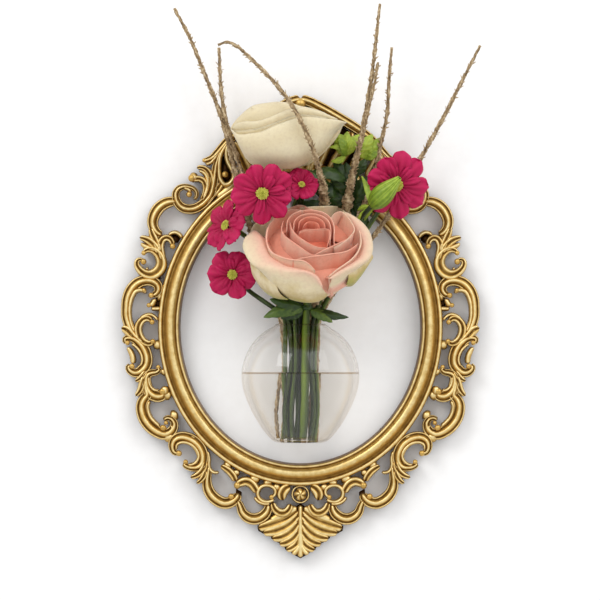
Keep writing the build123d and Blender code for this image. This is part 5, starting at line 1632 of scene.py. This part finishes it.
def bud_sepal(build, place, k):
    def cell(v, u, i, j):
        radius = 7.6 * math.sin(math.pi * (0.08 + 0.86 * v) ** 0.8) * (1 - 0.25 * v) + 0.4
        a = math.radians(k * 60 + 42 * (1 - 0.35 * v) * u + 18 * v)
        out = radius * (1 + 0.12 * (1 - u * u)) + 0.3 * (k % 2)
        point = place(out * math.cos(a), out * math.sin(a), 33 * v * (1 - 0.03 * u * u))
        return point, 0.35 + 0.35 * v + 0.14 * math.cos(u * math.pi * 3), 0.3

    cell_sheet(build, SEPAL_CELLS, SEPAL_THICK, cell)


def make_bud():
    """A closed green bud of six sepals on its cup, with narrow leaves along its stalk."""
    place = placer("bud")
    build = Build("tone")
    for k in range(6):
        bud_sepal(build, place, k)
    build.grid(round_rows(BUD_CUP, 20, place), 0.4, closed_u=True)
    for index, (base, tip, width) in enumerate(BUD_LEAVES):
        blade(build, traced(base), traced(tip), width, SEPAL_SHAPE, FRONT, 0.5, 70 + index, 0.05)
    build.piece("bud_sepals", "bouquet", "light_leaves", LEAF_LIGHT, "bud_head")


make_rose_leaves()
make_sprig("sprig_light", LIGHT_LEAVES, "light_leaves", LEAF_LIGHT)
make_sprig("sprig_dark", DARK_LEAVES, "dark_leaves", LEAF_DARK)
make_bud()

# Dry twigs: radius at even steps along them, in millimetres
TWIG_RADII = {
    "twig_left": [1.3, 1.3, 1.4, 2.8, 3.2, 2.5, 1.9, 1.6, 1.4, 1.1],
    "twig_bent": [1.3, 1.3, 1.4, 3.0, 3.4, 2.6, 1.9, 1.6, 1.4, 1.1],
    "twig_arched": [1.3, 1.3, 1.4, 1.6, 4.4, 3.8, 2.1, 1.7, 1.6, 1.4, 1.1],
    "twig_tall": [1.3, 1.3, 1.5, 4.8, 5.4, 3.6, 2.0, 1.7, 1.4, 1.0],
    "twig_short": [1.3, 1.3, 1.4, 2.4, 3.2, 2.4, 1.7, 1.5, 1.3, 1.0],
    "twig_far": [1.3, 1.3, 1.3, 1.3, 1.6, 1.8, 1.8, 1.6, 1.4, 1.0],
}
# The second arm of the tall twig
TALL_BRANCH = [(361, 140, 0.42), (368, 110, 0.47), (374, 85, 0.48), (377, 66, 0.485)]
TALL_BRANCH_RADII = [1.6, 1.3, 1.2, 1.0]
TWIG_FOOT = 1.35 * MM
TWIG_STEP = 1.0 * MM
THIN_TWIG = 1.5
SPURS_FROM, SPURS_TO = 0.36, 0.965


def rough_tube(build, path, radii, rng, spurs_from=0.0):
    """A knotty tube, with spurs from a share of its length on."""
    phase = [rng.uniform(0, 6) for _ in range(6)]

    def wobble(i, j):
        rough = 0.26 * rng.uniform(-1, 1) + 0.18 * math.sin(i * 0.9 + 2.1 * j + phase[0])
        return 1 + rough + 0.14 * math.sin(i * 0.37 + phase[1])

    tube(build, path, 10, lambda along: mix_list(radii, along) * MM,
         lambda along, j: 0.45 + 0.15 * math.sin(j * 1.7 + along * 90), wobble)
    last = len(path) - 1
    i = int(spurs_from * last)
    while i < last - 1:
        i += rng.randint(1, 3)
        if i > SPURS_TO * last:
            break
        way = (path[min(i + 1, last)] - path[max(i - 1, 0)]).normalized()
        turn = rng.uniform(0, math.tau)
        out = way.orthogonal().normalized()
        out.rotate(Matrix.Rotation(turn, 3, way))
        radius = mix_list(radii, i / last) * MM
        start = path[i] + out * radius * 0.5
        end = path[i] + out * (radius + rng.uniform(0.7, 2.2) * MM) + way * rng.uniform(0.6, 3.0) * MM
        size = rng.uniform(0.45, 1.0) * MM
        tube(build, [start, start.lerp(end, 0.5) + out * 0.2 * MM, end], 6,
             lambda along: size * (1 - 0.75 * along), lambda along, j: 0.55)


def make_twig(name):
    rng = random.Random(name)
    radii = TWIG_RADII[name]
    build = Build("tone")
    path = rounded_path(stalk_points(name, TWIG_FOOT), TWIG_STEP)
    # Where the twig is stout it stands further from the wall, clear of the moulding when lifted
    for k, place in enumerate(path):
        place.y -= 1.3 * MM * max(0.0, mix_list(radii, k / (len(path) - 1)) - THIN_TWIG)
    rough_tube(build, path, radii, rng, SPURS_FROM)
    if name == "twig_tall":
        rough_tube(build, rounded_path([traced(p) for p in TALL_BRANCH], TWIG_STEP), TALL_BRANCH_RADII, rng)
    build.piece(name + "_bark", "bouquet", "dry_twigs", BARK, name)


for twig in TWIG_RADII:
    make_twig(twig)
